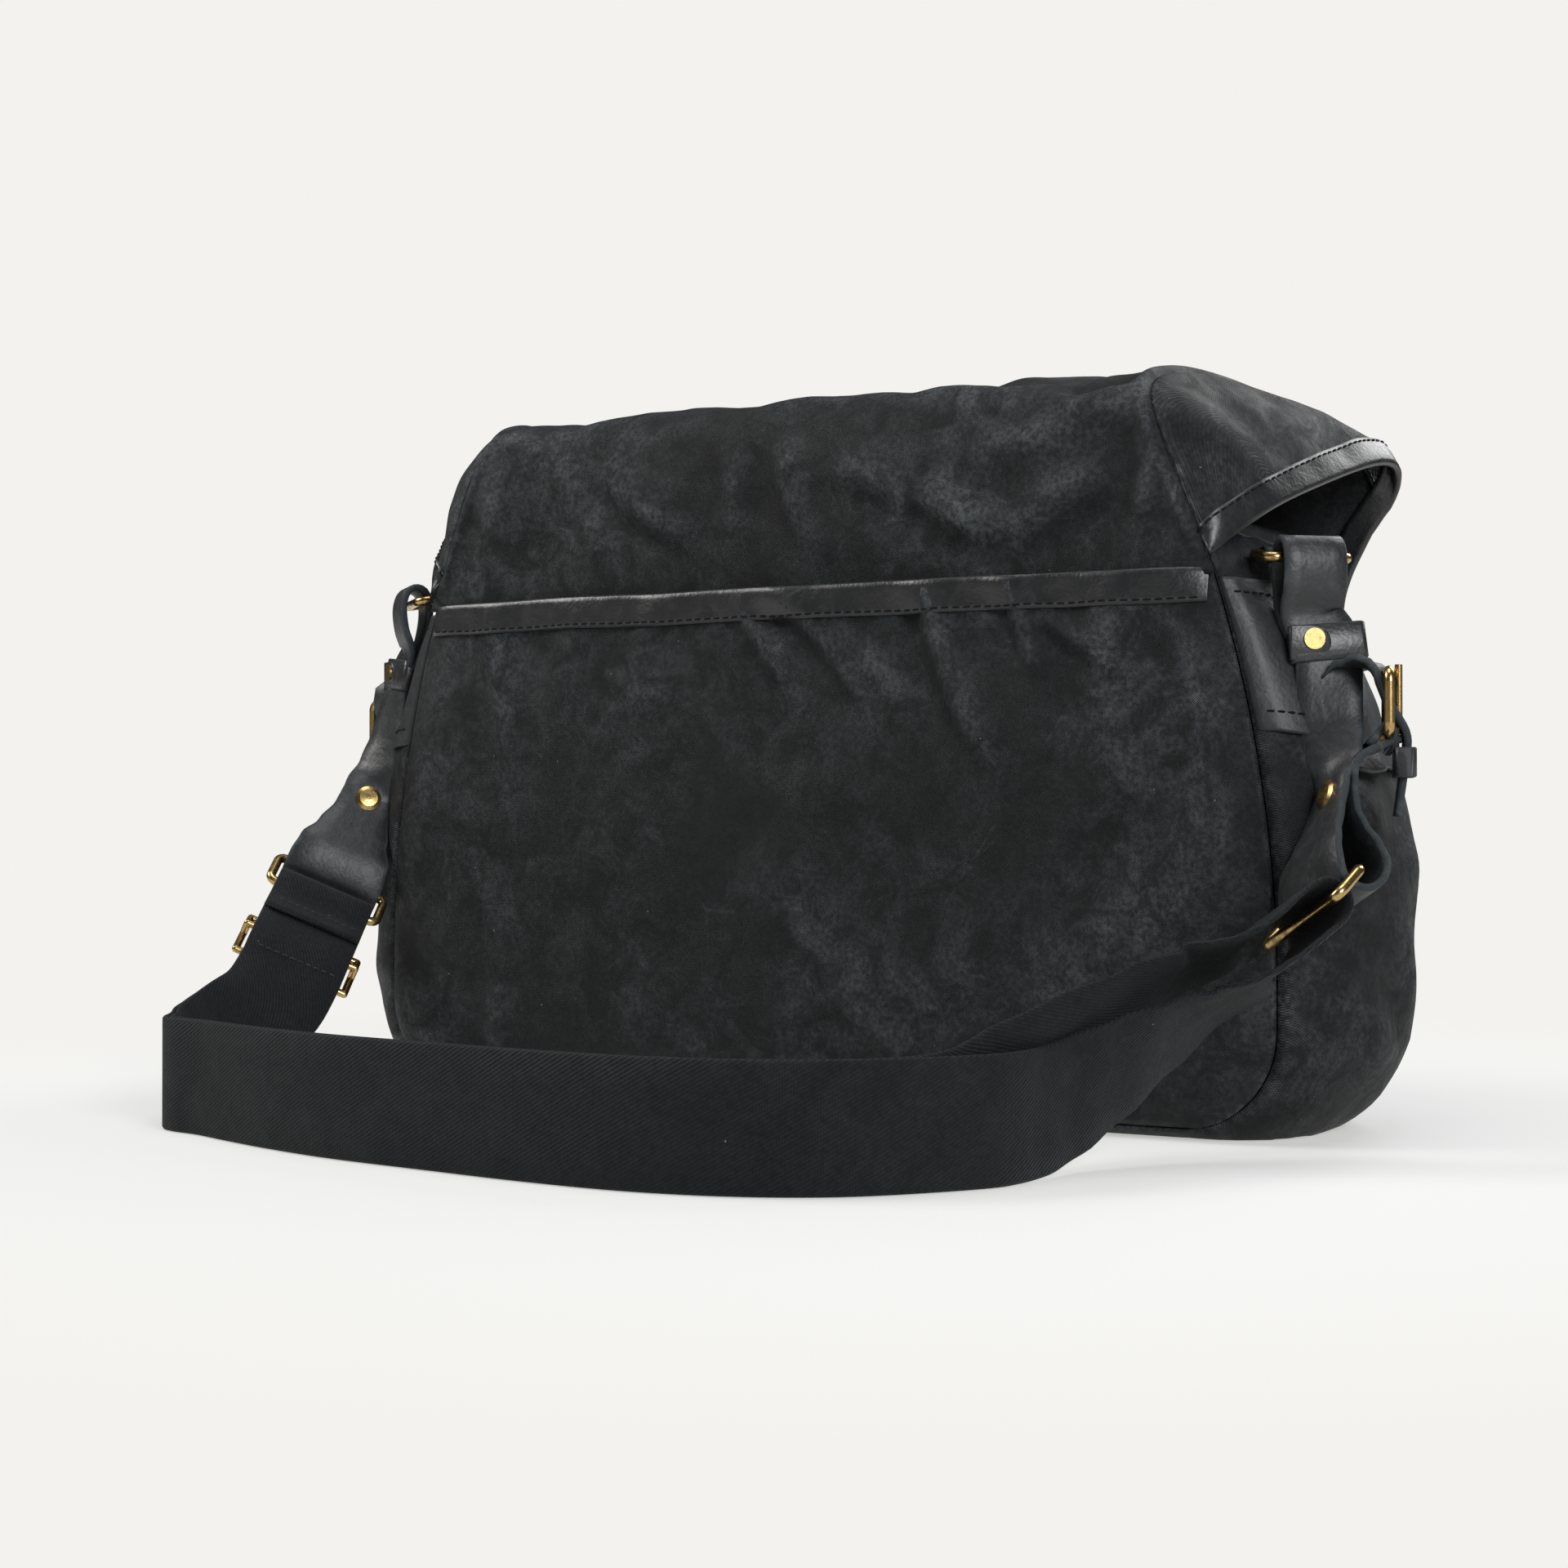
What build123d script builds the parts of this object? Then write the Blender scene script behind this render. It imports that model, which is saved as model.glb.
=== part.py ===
from build123d import *
import math
import os

os.makedirs("parts", exist_ok=True)

# Messenger bag standing on its base, in millimetres. X runs along the width, the
# pocket side faces -Y, the front flap faces +Y, and Z = 0 is the surface under it.

# ---------------------------------------------------------------- dimensions
BASE_HALF = 206.0        # half width of the back panel at its widest
TAPER = 26.0             # the panel narrows by this on each side ...
TAPER_RISE = 160.0       # ... over this height above the widest section
WIDEST_Z = 60.0
CORNER_R = 38.0          # rounded lower corners of the back and front panels
SEAM_Z = 4.0             # lowest point of the panel seams
GUSSET_HALF = 236.0      # half width over the bulging gussets
GUSSET_FOOT = 196.0      # half width of the gussets on the floor
GUSSET_TUCK = 44.0       # the bulge shrinks by this up to the ring height
RIM_TUCK = 14.0          # further tuck of the gussets at the mouth
RING_Z = 215.0
RIM_Z = 236.0            # height of the mouth
BACK_Y = -50.0           # back panel seam
FRONT_Y = 60.0           # front panel seam
BULGE_REAR_Y = -8.0      # the gusset bulge runs from here ...
BULGE_FRONT_Y = 28.0     # ... to here
CROWN = 6.0              # outward crown of the front panel and the rear pocket
CANVAS = 2.5             # waxed canvas, two plies
LINING = 1.0
LEATHER = 2.8            # strap leather
TRIM = 1.5               # binding leather
BINDING = 12.0           # visible width of every leather binding
HOOD_Z = 222.0           # the hood folds back along this line
HOOD_BACK = 3.5          # hood stands this far off the back wall
POCKET_Z = 8.0           # bottom of the rear slip pocket
POCKET_TOP = 215.0
POCKET_GAP = 5.0         # room inside the rear slip pocket
POCKET_RIM = 6.0         # seam allowance down the pocket's sides
WEBBING_W = 44.0         # shoulder strap, 1 3/4 inch twill webbing
WEBBING_T = 2.0
STRAP_W = 25.0           # leather hanger strap
WIRE_R = 2.0             # brass wire of all rings and buckles
PRONG_R = 1.4
RING_IN = 29.0           # clear width of a side ring
RING_DROP = 16.0         # side ring, bar to bar
SQUARE_IN = 46.5         # clear width of a lower ring and the slider
SQUARE_DROP = 16.5       # lower ring, bar to bar
BUCKLE_IN = 27.0         # clear width of a hanger buckle
BUCKLE_DROP = 23.0       # hanger buckle, bar to bar
RUN = 0.06               # running clearance of a wire in its tunnel
SEP = 0.4                # gap between pieces that move past each other

# Hanger way points on the right side; the left side mirrors them.
RING_BAR = Vector(212.0, -30.0, 219.5)                  # outer bar of the side ring
RING_DIR = Vector(0.74, 0.67, 0.0).normalized()
RING_PULL = Vector(0.66, -0.73, -0.16).normalized()     # from the tab to the outer bar
KEEPER_AT = Vector(218.0, -29.0, 187.0)
SQUARE_AT = Vector(229.0, -66.0, 94.0)                  # leather bar of the lower ring
SQUARE_DIR = Vector(0.71, -0.57, 0.40).normalized()
SQUARE_PULL = Vector(-0.31, -0.75, -0.59).normalized()  # on to the webbing bar
STRAP_UP = Vector(-0.09, 0.52, 0.84).normalized()       # from the lower ring up the hanger
CAP_RISE = 41.0          # the cap rivet sits this far up the hanger from the lower ring
UP = Vector(0, 0, 1)

# The buckle of each hanger hangs behind it: its place, bar direction and outer face.
BUCKLES = {
    "right": (Vector(241.0, -27.0, 164.0), Vector(-0.31, 0.95, 0.0), Vector(0.95, 0.31, 0.0)),
    "left": (Vector(-228.0, -19.0, 164.0), Vector(-1.0, 0.0, 0.0), Vector(0.0, 1.0, 0.0)),
}
SIDES = {"right": 1, "left": -1}


# ------------------------------------------------------------------- helpers
def save(name, shape):
    shape.label = name
    export_step(shape, f"parts/{name}.step")


def to_side(vec, sign):
    return Vector(vec.X * sign, vec.Y, vec.Z)


def mirror_to(shape, sign):
    return shape if sign > 0 else mirror(shape, about=Plane.YZ)


def perpendicular(axis, toward):
    """Unit part of toward that is square to the unit vector axis."""
    return (toward - axis * toward.dot(axis)).normalized()


def loft_through(sections):
    """Solid through a list of sections, each a list of corner points."""
    return Solid.make_loft([Wire.make_polygon(c, close=True) for c in sections], True)


def polygon_face(*corners):
    return Face(Wire.make_polygon(corners, close=True))


def faceted(sections):
    """Solid of flat facets through the sections, for strips that twist and fold over."""
    facets = [sections[0][::-1], sections[-1]]
    for low, high in zip(sections, sections[1:]):
        for i in range(len(low)):
            j = (i + 1) % len(low)
            facets += [(low[i], low[j], high[j]), (low[i], high[j], high[i])]
    inside_out = sum(f[0].dot(f[1].cross(f[2])) for f in facets) < 0
    if inside_out:
        facets = [f[::-1] for f in facets]
    return Solid(Shell([polygon_face(*facet) for facet in facets]))


def face_normals(stations):
    """Face normal at each station of a strip: width direction cross running direction."""
    normals = []
    for i, station in enumerate(stations):
        before, after = stations[max(i - 1, 0)][0], stations[min(i + 1, len(stations) - 1)][0]
        normals.append(station[1].cross(after - before).normalized())
    return normals


def shifted(stations, distance):
    """The same strip moved along its face normals."""
    return [(at + normal * distance, across, width)
            for (at, across, width), normal in zip(stations, face_normals(stations))]


def ribbon(stations, thickness):
    """Flat strip through stations of (centre, width direction, width)."""
    sections = []
    for (centre, across, width), normal in zip(stations, face_normals(stations)):
        half = across.normalized() * (width / 2)
        lift = normal * (thickness / 2)
        sections.append([
            centre - half - lift, centre + half - lift,
            centre + half + lift, centre - half + lift,
        ])
    return faceted(sections)


def wire_ring(first_bar, along, pull, inside, drop, corner=4.0, wire=WIRE_R):
    """Rounded rectangular ring of round wire, from its first bar on towards pull."""
    down = perpendicular(along, pull)
    frame = Plane(
        origin=first_bar + down * (drop / 2), x_dir=along, z_dir=along.cross(down)
    )
    path = (frame * RectangleRounded(inside + 2 * wire, drop, corner)).wire()
    start = Plane(origin=path @ 0, z_dir=path % 0)
    return sweep(start * Circle(wire), path=path)


def rod(start, end, radius):
    run = end - start
    return Plane(origin=start, z_dir=run) * extrude(Circle(radius), run.length)


def rivet(at, outward, head_r, head_t, grip, shank_r=1.6):
    """Domed head on the outer face, a shank through the layers and a flat back washer."""
    face = Plane(origin=at, z_dir=outward)
    profile = make_face(Polyline(
        (0, -grip - 1.0), (head_r * 0.8, -grip - 1.0), (head_r * 0.8, -grip),
        (shank_r, -grip), (shank_r, 0), (head_r, 0), (head_r, head_t * 0.4),
        (head_r * 0.7, head_t * 0.85), (0, head_t), close=True,
    ))
    return face * revolve(Plane.XZ * profile, Axis.Z)


# --------------------------------------------------------- shape of the bag
def seam_half(z):
    """Half width of the back and front panels at height z."""
    if z < SEAM_Z + CORNER_R:
        rise = CORNER_R - max(z - SEAM_Z, 0.0)
        return BASE_HALF - CORNER_R + math.sqrt(CORNER_R ** 2 - rise ** 2)
    above = max(z - WIDEST_Z, 0.0) / TAPER_RISE
    return BASE_HALF - TAPER * above ** 2


def bulge_half(z):
    """Half width over the gussets at height z."""
    if z < WIDEST_Z:
        round_in = math.sqrt(1.0 - ((WIDEST_Z - z) / WIDEST_Z) ** 2)
        return GUSSET_FOOT + (GUSSET_HALF - GUSSET_FOOT) * round_in
    shrink = ((z - WIDEST_Z) / (RING_Z - WIDEST_Z)) ** 1.3
    tuck = RIM_TUCK * max(z - RING_Z, 0.0) / (RIM_Z - RING_Z)
    return GUSSET_HALF - GUSSET_TUCK * min(shrink, 1.0) - tuck


def outline(z):
    """The bag's outer outline at height z, anticlockwise from the back left seam."""
    seam, bulge = seam_half(z), bulge_half(z)
    lift = min(z / 30.0, 1.0)
    back, front = BACK_Y + 5.0 * (1 - lift), FRONT_Y - 5.0 * (1 - lift)
    return [
        (-seam, back), (0, back), (seam, back),
        (bulge, BULGE_REAR_Y), (bulge, BULGE_FRONT_Y),
        (seam, front), (0, front + CROWN), (-seam, front),
        (-bulge, BULGE_FRONT_Y), (-bulge, BULGE_REAR_Y),
    ]


def inset(points, depth):
    """Move every side of an anticlockwise outline inwards by depth."""
    moved = []
    for i, (x, y) in enumerate(points):
        (xa, ya), (xb, yb) = points[i - 1], points[(i + 1) % len(points)]
        before = Vector(y - ya, xa - x).normalized()
        after = Vector(yb - y, x - xb).normalized()
        out = (before + after) * (1.0 / (1.0 + before.dot(after)))
        moved.append((x - out.X * depth, y - out.Y * depth))
    return moved


def level(z, depth=0.0):
    return [Vector(x, y, z) for x, y in inset(outline(z), depth)]


def wall(indices, heights, outer=0.0, inner=CANVAS):
    """One panel of the bag between two seams, from outer to inner below the outline."""
    sections = []
    for z in heights:
        out_points, in_points = level(z, outer), level(z, inner)
        front = [out_points[i] for i in indices]
        behind = [in_points[i] for i in reversed(indices)]
        sections.append(front + behind)
    return loft_through(sections)


def block(heights, depth):
    return loft_through([level(z, depth) for z in heights])


BACK, RIGHT, FRONT, LEFT = (0, 1, 2), (2, 3, 4, 5), (5, 6, 7), (7, 8, 9, 0)
WALL_Z = (CANVAS, 8, 16, 28, 42, 60, 90, 125, 165, RING_Z, RIM_Z)


# ------------------------------------------------------------- bag body, sewn
def bag_body():
    save("bottom_panel", block((0, CANVAS), 0.0))
    save("back_panel", wall(BACK, WALL_Z))
    save("front_panel", wall(FRONT, WALL_Z))
    save("right_gusset", wall(RIGHT, WALL_Z))
    save("left_gusset", wall(LEFT, WALL_Z))
    inner_z = (CANVAS + 0.1,) + WALL_Z[1:]
    hollow_z = (CANVAS + 0.1 + LINING,) + WALL_Z[1:-1] + (RIM_Z + 1.0,)
    skin = CANVAS + 0.1
    save("lining", block(inner_z, skin) - block(hollow_z, skin + LINING))


def mouth_binding():
    low, high = RIM_Z - 8.0, RIM_Z + TRIM
    inside = CANVAS + 0.1 + LINING + 0.1
    band = block((low, high), -TRIM) - block((low - 1, high + 1), inside + TRIM)
    core = block((low - 1, RIM_Z + 0.05), -0.05) - block((low - 2, RIM_Z + 1), inside)
    save("mouth_binding", band - core)


def pocket_line(z, offset):
    """The pocket's seam, crowned centre and seam at height z, offset towards -Y."""
    left, centre, right = level(z)[:3]
    crown = CROWN * min((z - POCKET_Z) / 30.0, 1.0)
    crowns = (0.0, crown, 0.0)
    return [Vector(p.X, p.Y - offset - c, p.Z) for p, c in zip((left, centre, right), crowns)]


def back_slab(heights, near, far, trim=0.0):
    """Plate following the back panel between two distances in front of it."""
    sections = []
    for z in heights:
        outer, inner = pocket_line(z, far), pocket_line(z, near)
        for row in (outer, inner):
            row[0] += Vector(trim, 0, 0)
            row[2] -= Vector(trim, 0, 0)
        sections.append(outer + inner[::-1])
    return loft_through(sections)


def rear_pocket():
    heights = (POCKET_Z, 16, 28, 42, 60, 90, 125, 165, POCKET_TOP)
    panel = back_slab(heights, POCKET_GAP, POCKET_GAP + CANVAS)
    hem = loft_through([
        [Vector(-e.X, e.Y - 0.1, z), e + Vector(0, -0.1, 0),
         e + Vector(0, -POCKET_GAP - 0.1, 0), Vector(-e.X, e.Y - POCKET_GAP - 0.1, z)]
        for z, e in ((z, level(z)[2]) for z in (POCKET_Z, POCKET_Z + 4.0))
    ])
    sides = []
    for sign in (1, -1):
        sections = []
        for z in heights:
            edge = level(z)[2]
            far, near = edge.Y - POCKET_GAP - 0.1, edge.Y - 0.1
            sections.append([
                Vector(sign * edge.X, far, z), Vector(sign * (edge.X - POCKET_RIM), far, z),
                Vector(sign * (edge.X - POCKET_RIM), near, z), Vector(sign * edge.X, near, z),
            ])
        sides.append(loft_through(sections))
    save("rear_pocket", panel + hem + sides[0] + sides[1])


def pocket_binding():
    low, top = POCKET_TOP - BINDING, POCKET_TOP + 0.1
    near, far = POCKET_GAP - 0.1, POCKET_GAP + CANVAS + 0.1
    front = back_slab((low, top + TRIM), far, far + TRIM, 0.5)
    rear = back_slab((low, top + TRIM), near - TRIM, near, POCKET_RIM + 1)
    cap = back_slab((top, top + TRIM), near - TRIM, far + TRIM, POCKET_RIM + 1)
    save("pocket_binding", front + rear + cap)


# --------------------------------------------------------------- gusset trim
PATCH_TOP = 212.0
PATCH_SIDE_Z = 154.0     # lower edge beside the seams
PATCH_DIP_Z = 138.0      # lower edge in the middle


def gusset_patches():
    for name, indices in (("right", RIGHT), ("left", LEFT)):
        sheet = wall(indices, (PATCH_DIP_Z, 165, 190, PATCH_TOP), -TRIM - 0.1, -0.1)
        sign = SIDES[name]
        arch = []
        for y in (BACK_Y - 20, FRONT_Y + 20):
            near_middle = 12.0 if y < 0 else 8.0
            arch.append(Pos(sign * 200, y, PATCH_DIP_Z) * Box(
                120, 2 * (abs(y) - near_middle), 2 * (PATCH_SIDE_Z - PATCH_DIP_Z)
            ))
        save(f"{name}_gusset_patch", sheet - arch[0] - arch[1])


TAB_REACH = 12.5         # the tab runs this far back to the gusset it is sewn to


def tab_frame(sign):
    """Plane at the side ring's inner bar: X along the bar, Z away from the gusset."""
    along = to_side(RING_DIR, sign)
    pull = perpendicular(along, to_side(RING_PULL, sign))
    inner_bar = to_side(RING_BAR, sign) - pull * RING_DROP
    return Plane(origin=inner_bar, x_dir=along, z_dir=pull)


def ring_tabs():
    for name, sign in SIDES.items():
        frame = tab_frame(sign)
        bore = WIRE_R + RUN
        barrel = extrude(Plane.YZ * (Circle(bore + LEATHER / 2) - Circle(bore)), 12, both=True)
        inward = Box(24, LEATHER, TAB_REACH)
        plate = Pos(0, 0, -bore - LEATHER / 2 + 0.5 - TAB_REACH / 2) * inward
        save(f"{name}_ring_tab", frame * (barrel + plate))


# ---------------------------------------------------------------------- flap
# Side profile of the hood and front flap, outer face: (y, z, half width).
FLAP_PROFILE = (
    (BACK_Y - HOOD_BACK - CANVAS, HOOD_Z, 180.0),
    (BACK_Y - HOOD_BACK - CANVAS, 262.0, 167.0),
    (-51.0, 287.0, 156.0),
    (-38.0, 296.0, 157.0),
    (-10.0, 298.0, 164.0),
    (25.0, 294.0, 175.0),
    (58.0, 286.0, 190.0),
    (74.0, 272.0, 203.0),
    (79.0, 250.0, 205.0),
    (80.0, 222.0, 192.0),
    (80.0, 190.0, 189.0),
    (80.0, 130.0, 192.0),
    (79.0, 74.0, 194.0),
)
WING_LOWER = ((-56.0, 222.0, 181.0), (-20.0, 243.0, 198.0), (20.0, 256.0, 207.0),
              (60.0, 268.0, 214.0), (73.0, 262.0, 216.0))
TOP_FROM, FRONT_FROM, FRONT_LOW = 2, 7, 12
FLAP_CORNER_R = 42.0


def profile_sections(first, last, outer=0.0, thickness=CANVAS, narrow=0.0):
    """Cross sections of the flap between two profile points, square to the profile."""
    sections = []
    for i in range(first, last + 1):
        y, z, half = FLAP_PROFILE[i]
        before = FLAP_PROFILE[max(i - 1, 0)]
        after = FLAP_PROFILE[min(i + 1, len(FLAP_PROFILE) - 1)]
        run = Vector(after[0] - before[0], after[1] - before[1]).normalized()
        out = Vector(0, -run.Y, run.X)
        face = Vector(0, y, z) + out * outer
        behind = face - out * thickness
        reach = Vector(half - narrow, 0, 0)
        sections.append([face - reach, face + reach, behind + reach, behind - reach])
    return sections


def flap_panels():
    save("hood_back", loft_through(profile_sections(0, TOP_FROM)))
    save("hood_top", loft_through(profile_sections(TOP_FROM, FRONT_FROM)))
    front = loft_through(profile_sections(FRONT_FROM, FRONT_LOW))
    save("flap_front", round_corners(front))


def round_corners(panel):
    """Round the two lower corners of a front flap panel."""
    half, low = FLAP_PROFILE[FRONT_LOW][2], FLAP_PROFILE[FRONT_LOW][1]
    reach = 2 * FLAP_CORNER_R
    for sign in (1, -1):
        centre_x, centre_z = sign * (half - FLAP_CORNER_R), low + FLAP_CORNER_R
        square = Pos(centre_x + sign * reach / 2, FRONT_Y, centre_z - reach / 2) * Box(
            reach, 100, reach
        )
        disc = Pos(centre_x, FRONT_Y, centre_z) * Rot(90, 0, 0) * Cylinder(FLAP_CORNER_R, 102)
        panel = panel - (square - disc)
    return panel


def wing_upper(y):
    """Hood edge at depth y: (x, z), from the flap profile."""
    points = FLAP_PROFILE[:FRONT_FROM + 1]
    for (ya, za, xa), (yb, zb, xb) in zip(points[2:], points[3:]):
        if ya <= y <= yb:
            t = (y - ya) / (yb - ya)
            return xa + t * (xb - xa), za + t * (zb - za)
    return points[2][2], points[2][1]


def wing_stations():
    """Lower and upper edge points of a wing on the right side."""
    stations = []
    for y, z, x in WING_LOWER:
        upper_x, upper_z = wing_upper(max(y, -51.0))
        stations.append((Vector(x + 1, y, z), Vector(upper_x + 1, max(y, -51.0), upper_z)))
    return stations


def wings():
    for name, sign in SIDES.items():
        skin, trim = [], []
        for lower, upper in wing_stations():
            rise = (upper - lower).normalized()
            out = perpendicular(rise, Vector(1, -0.15, 0))
            thick, band = out * CANVAS, rise * BINDING
            skin.append([lower, upper, upper + thick, lower + thick])
            over = out * (CANVAS + 0.5)
            trim.append([lower + over, lower + band * 0.8 + over,
                         lower + band * 0.8 + over + out * TRIM, lower + over + out * TRIM])
        save(f"{name}_wing", mirror_to(loft_through(skin), sign))
        save(f"{name}_wing_binding", mirror_to(loft_through(trim), sign))


def flap_binding():
    """Leather strip along the sides and lower edge of the front flap."""
    shell = loft_through(profile_sections(FRONT_FROM + 1, FRONT_LOW, TRIM + 0.1, TRIM))
    half, low = FLAP_PROFILE[FRONT_LOW][2], FLAP_PROFILE[FRONT_LOW][1]
    inner_half, middle = half - BINDING, 190.0
    window = Pos(0, 80, middle) * Rot(90, 0, 0) * extrude(
        RectangleRounded(2 * inner_half, 2 * (middle - low - BINDING), FLAP_CORNER_R - BINDING),
        40, both=True,
    )
    top_cut = Pos(0, 80, middle + 100) * Box(2 * inner_half, 60, 200)
    save("flap_binding", round_corners(shell) - window - top_cut)


# ------------------------------------------------------------ front closures
CLOSURE_X = 105.0
CLOSURE_Y = 80.2         # outer face of the flap where the straps lie
CLOSURE_TOP = 170.0
CLOSURE_BUCKLE_Z = 104.0
SNAP_Z = 56.0
HUB_WALL = 1.6           # brass round the bar that a prong turns on


def prong(foot, along, toward_tip, outward, reach):
    """Buckle prong: a hub turning on the foot bar and a pin resting on the far bar."""
    hub_r = WIRE_R + RUN + HUB_WALL
    hub = Plane(origin=foot - along * 2.0, z_dir=along) * extrude(
        Circle(hub_r) - Circle(WIRE_R + RUN), 4.0
    )
    start = foot + outward * (WIRE_R + PRONG_R + SEP)
    tip = foot + toward_tip * (reach + 3.0) + outward * (WIRE_R + PRONG_R + SEP)
    return hub + rod(start, tip, PRONG_R)


def closures():
    along, outward = Vector(1, 0, 0), Vector(0, 1, 0)
    for name, sign in SIDES.items():
        x = sign * CLOSURE_X
        strap_len = CLOSURE_TOP - CLOSURE_BUCKLE_Z + 18
        lie = CLOSURE_Y + 0.3 + LEATHER / 2
        strap = Pos(x, lie, CLOSURE_TOP - strap_len / 2) * Box(STRAP_W, LEATHER, strap_len)
        save(f"{name}_closure_strap", strap)

        bar = Vector(x, CLOSURE_Y + LEATHER + WIRE_R + 2.4, CLOSURE_BUCKLE_Z)
        foot = bar - UP * BUCKLE_DROP
        save(f"{name}_closure_buckle", wire_ring(bar, along, -UP, BUCKLE_IN, BUCKLE_DROP))
        save(f"{name}_closure_prong", prong(foot, along, UP, outward, BUCKLE_DROP))

        tab_top = foot.Z - WIRE_R - HUB_WALL - 1.0
        tab_low, tab_y = SNAP_Z - 14.0, bar.Y - 0.6
        tab = Pos(x, tab_y, (tab_top + tab_low) / 2) * Box(STRAP_W, LEATHER, tab_top - tab_low)
        save(f"{name}_closure_tab", tab)
        cap = rivet(Vector(x, tab_y + LEATHER / 2, SNAP_Z), outward, 6.0, 1.8, LEATHER)
        save(f"{name}_snap_cap", cap)

        base_face = FRONT_Y + CROWN + 0.5
        reach = tab_y - LEATHER / 2 - 1.0 - SEP - base_face
        stud = Pos(x, base_face + reach / 2, SNAP_Z) * Rot(90, 0, 0) * Cylinder(5.0, reach)
        save(f"{name}_snap_stud", stud)


# ------------------------------------------------- side rings, hangers, strap
def side_rings():
    for name, sign in SIDES.items():
        along = to_side(RING_DIR, sign)
        pull = perpendicular(along, to_side(RING_PULL, sign))
        first = to_side(RING_BAR, sign) - pull * RING_DROP
        save(f"{name}_side_ring", wire_ring(first, along, pull, RING_IN, RING_DROP))


def lower_rings():
    for name, sign in SIDES.items():
        along, pull = to_side(SQUARE_DIR, sign), to_side(SQUARE_PULL, sign)
        save(f"{name}_lower_ring",
             wire_ring(to_side(SQUARE_AT, sign), along, pull, SQUARE_IN, SQUARE_DROP, 3.2))


# Leather bell round the lower ring: (towards the outer face, up the strap, width).
BELL = (
    (1.8, 44, 25), (2.6, 34, 26), (5.0, 22, 33), (7.0, 12, 42), (6.0, 3, 44.5),
    (3.6, -3.4, 44.5), (-1.0, -4.8, 44.5), (-7.0, -3.5, 44.5), (-11.5, 2, 44.5),
    (-13.0, 9, 43), (-10.5, 17, 38), (-6.0, 25, 31), (-3.2, 33, 26), (-1.8, 44, 25),
)
# Loop over the side ring, in the same way but from the ring's bar, centre line.
LOOP = ((2.2, -22), (5.0, -12), (6.0, -2), (4.0, 5), (0, 7), (-4.0, 5), (-6.0, -2),
        (-5.0, -12), (-2.2, -22))
PRONG_SLOT = (4.6, 12.0, 15.0)   # hole in the billet: width, depth, height
BAND_H = 11.0            # height of the leather band that holds the billet below its buckle
KEEPER_DIR = Vector(0.82, 0.57, 0.0).normalized()
MID_AT, MID_DIR = Vector(220.5, -34.0, 163.0), Vector(0.945, 0.326, 0.0)
TURN_AT, TURN_DIR = Vector(222.5, -37.5, 147.0), Vector(1.0, 0.0, 0.06)
# Billet and chape centre lines of each side, with the width direction at each point.
BILLETS = {
    "right": (
        ((217.0, -25.6, 181.0), (0.80, 0.60, 0)), ((222.5, -24.6, 178.5), (0.55, 0.83, 0)),
        ((230.5, -25.8, 179.0), (0.1, 0.99, 0)), ((236.6, -28.4, 175.5), (-0.31, 0.95, 0)),
        ((241.2, -27.0, 164.0), (-0.31, 0.95, 0)), ((247.0, -25.1, 152.5), (-0.31, 0.95, 0)),
        ((246.5, -25.2, 142.0), (-0.31, 0.95, 0)), ((244.0, -26.0, 122.0), (-0.31, 0.95, 0)),
    ),
    "left": (
        ((-217.5, -24.2, 181.0), (-0.90, 0.44, 0)), ((-222.5, -23.0, 178.5), (-0.97, 0.2, 0)),
        ((-227.0, -23.3, 175.5), (-1, 0, 0)), ((-228.0, -19.0, 164.0), (-1, 0, 0)),
        ((-229.5, -13.0, 152.5), (-1, 0, 0)), ((-234.5, -12.4, 142.0), (-1, 0, 0)),
        ((-241.5, -14.0, 122.0), (-1, 0, 0)),
    ),
}
CHAPES = {
    "right": (((229.5, -38.0, 142.0), (0.60, -0.78, 0.15)),
              ((237.5, -29.5, 147.5), (0.31, -0.95, 0))),
    "left": (((-226.0, -33.0, 140.0), (-0.94, -0.3, 0.1)),
             ((-227.5, -21.0, 147.5), (-1, 0, 0))),
}


def hanger_frames(sign):
    """The strap's way points above the bell: point, width direction, outer normal."""
    frames = []
    for point, across in ((RING_BAR, RING_DIR), (KEEPER_AT, KEEPER_DIR), (MID_AT, MID_DIR),
                          (TURN_AT, TURN_DIR)):
        width = to_side(across, sign).normalized()
        frames.append((to_side(point, sign), width, width.cross(UP).normalized() * sign))
    return frames


def cap_frame(sign):
    """Frame of the bell: ring bar, width direction, outer normal, direction up."""
    across = to_side(SQUARE_DIR, sign)
    up = perpendicular(across, to_side(STRAP_UP, sign))
    return to_side(SQUARE_AT, sign), across, across.cross(up).normalized() * sign, up


def hanger_straps():
    for name, sign in SIDES.items():
        bar, width, out, up = cap_frame(sign)
        bell = [(bar + out * n + up * u, width, w) for n, u, w in BELL]
        ring, keeper, middle, turn = hanger_frames(sign)
        layer = LEATHER / 2 + SEP / 2

        front = [(at + n * layer, across, STRAP_W) for at, across, n in (turn, middle, keeper)]
        over = [(ring[0] + ring[2] * n + UP * u, ring[1], STRAP_W) for n, u in LOOP]
        behind = [(keeper[0] - keeper[2] * layer, keeper[1], STRAP_W)]
        behind += [(Vector(*at), Vector(*across), STRAP_W) for at, across in BILLETS[name]]
        chape = [(Vector(*at), Vector(*across), STRAP_W) for at, across in CHAPES[name]]
        stations = chape[::-1] + bell[::-1] + front + over + behind

        centre, along, face = BUCKLES[name]
        crossing = centre - UP * (BUCKLE_DROP / 2 - PRONG_SLOT[2] / 2 + 2) + face * 4.0
        slot = Plane(origin=crossing, x_dir=along, z_dir=UP) * Box(*PRONG_SLOT)
        save(f"{name}_hanger_strap", ribbon(stations, LEATHER) - slot)


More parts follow.
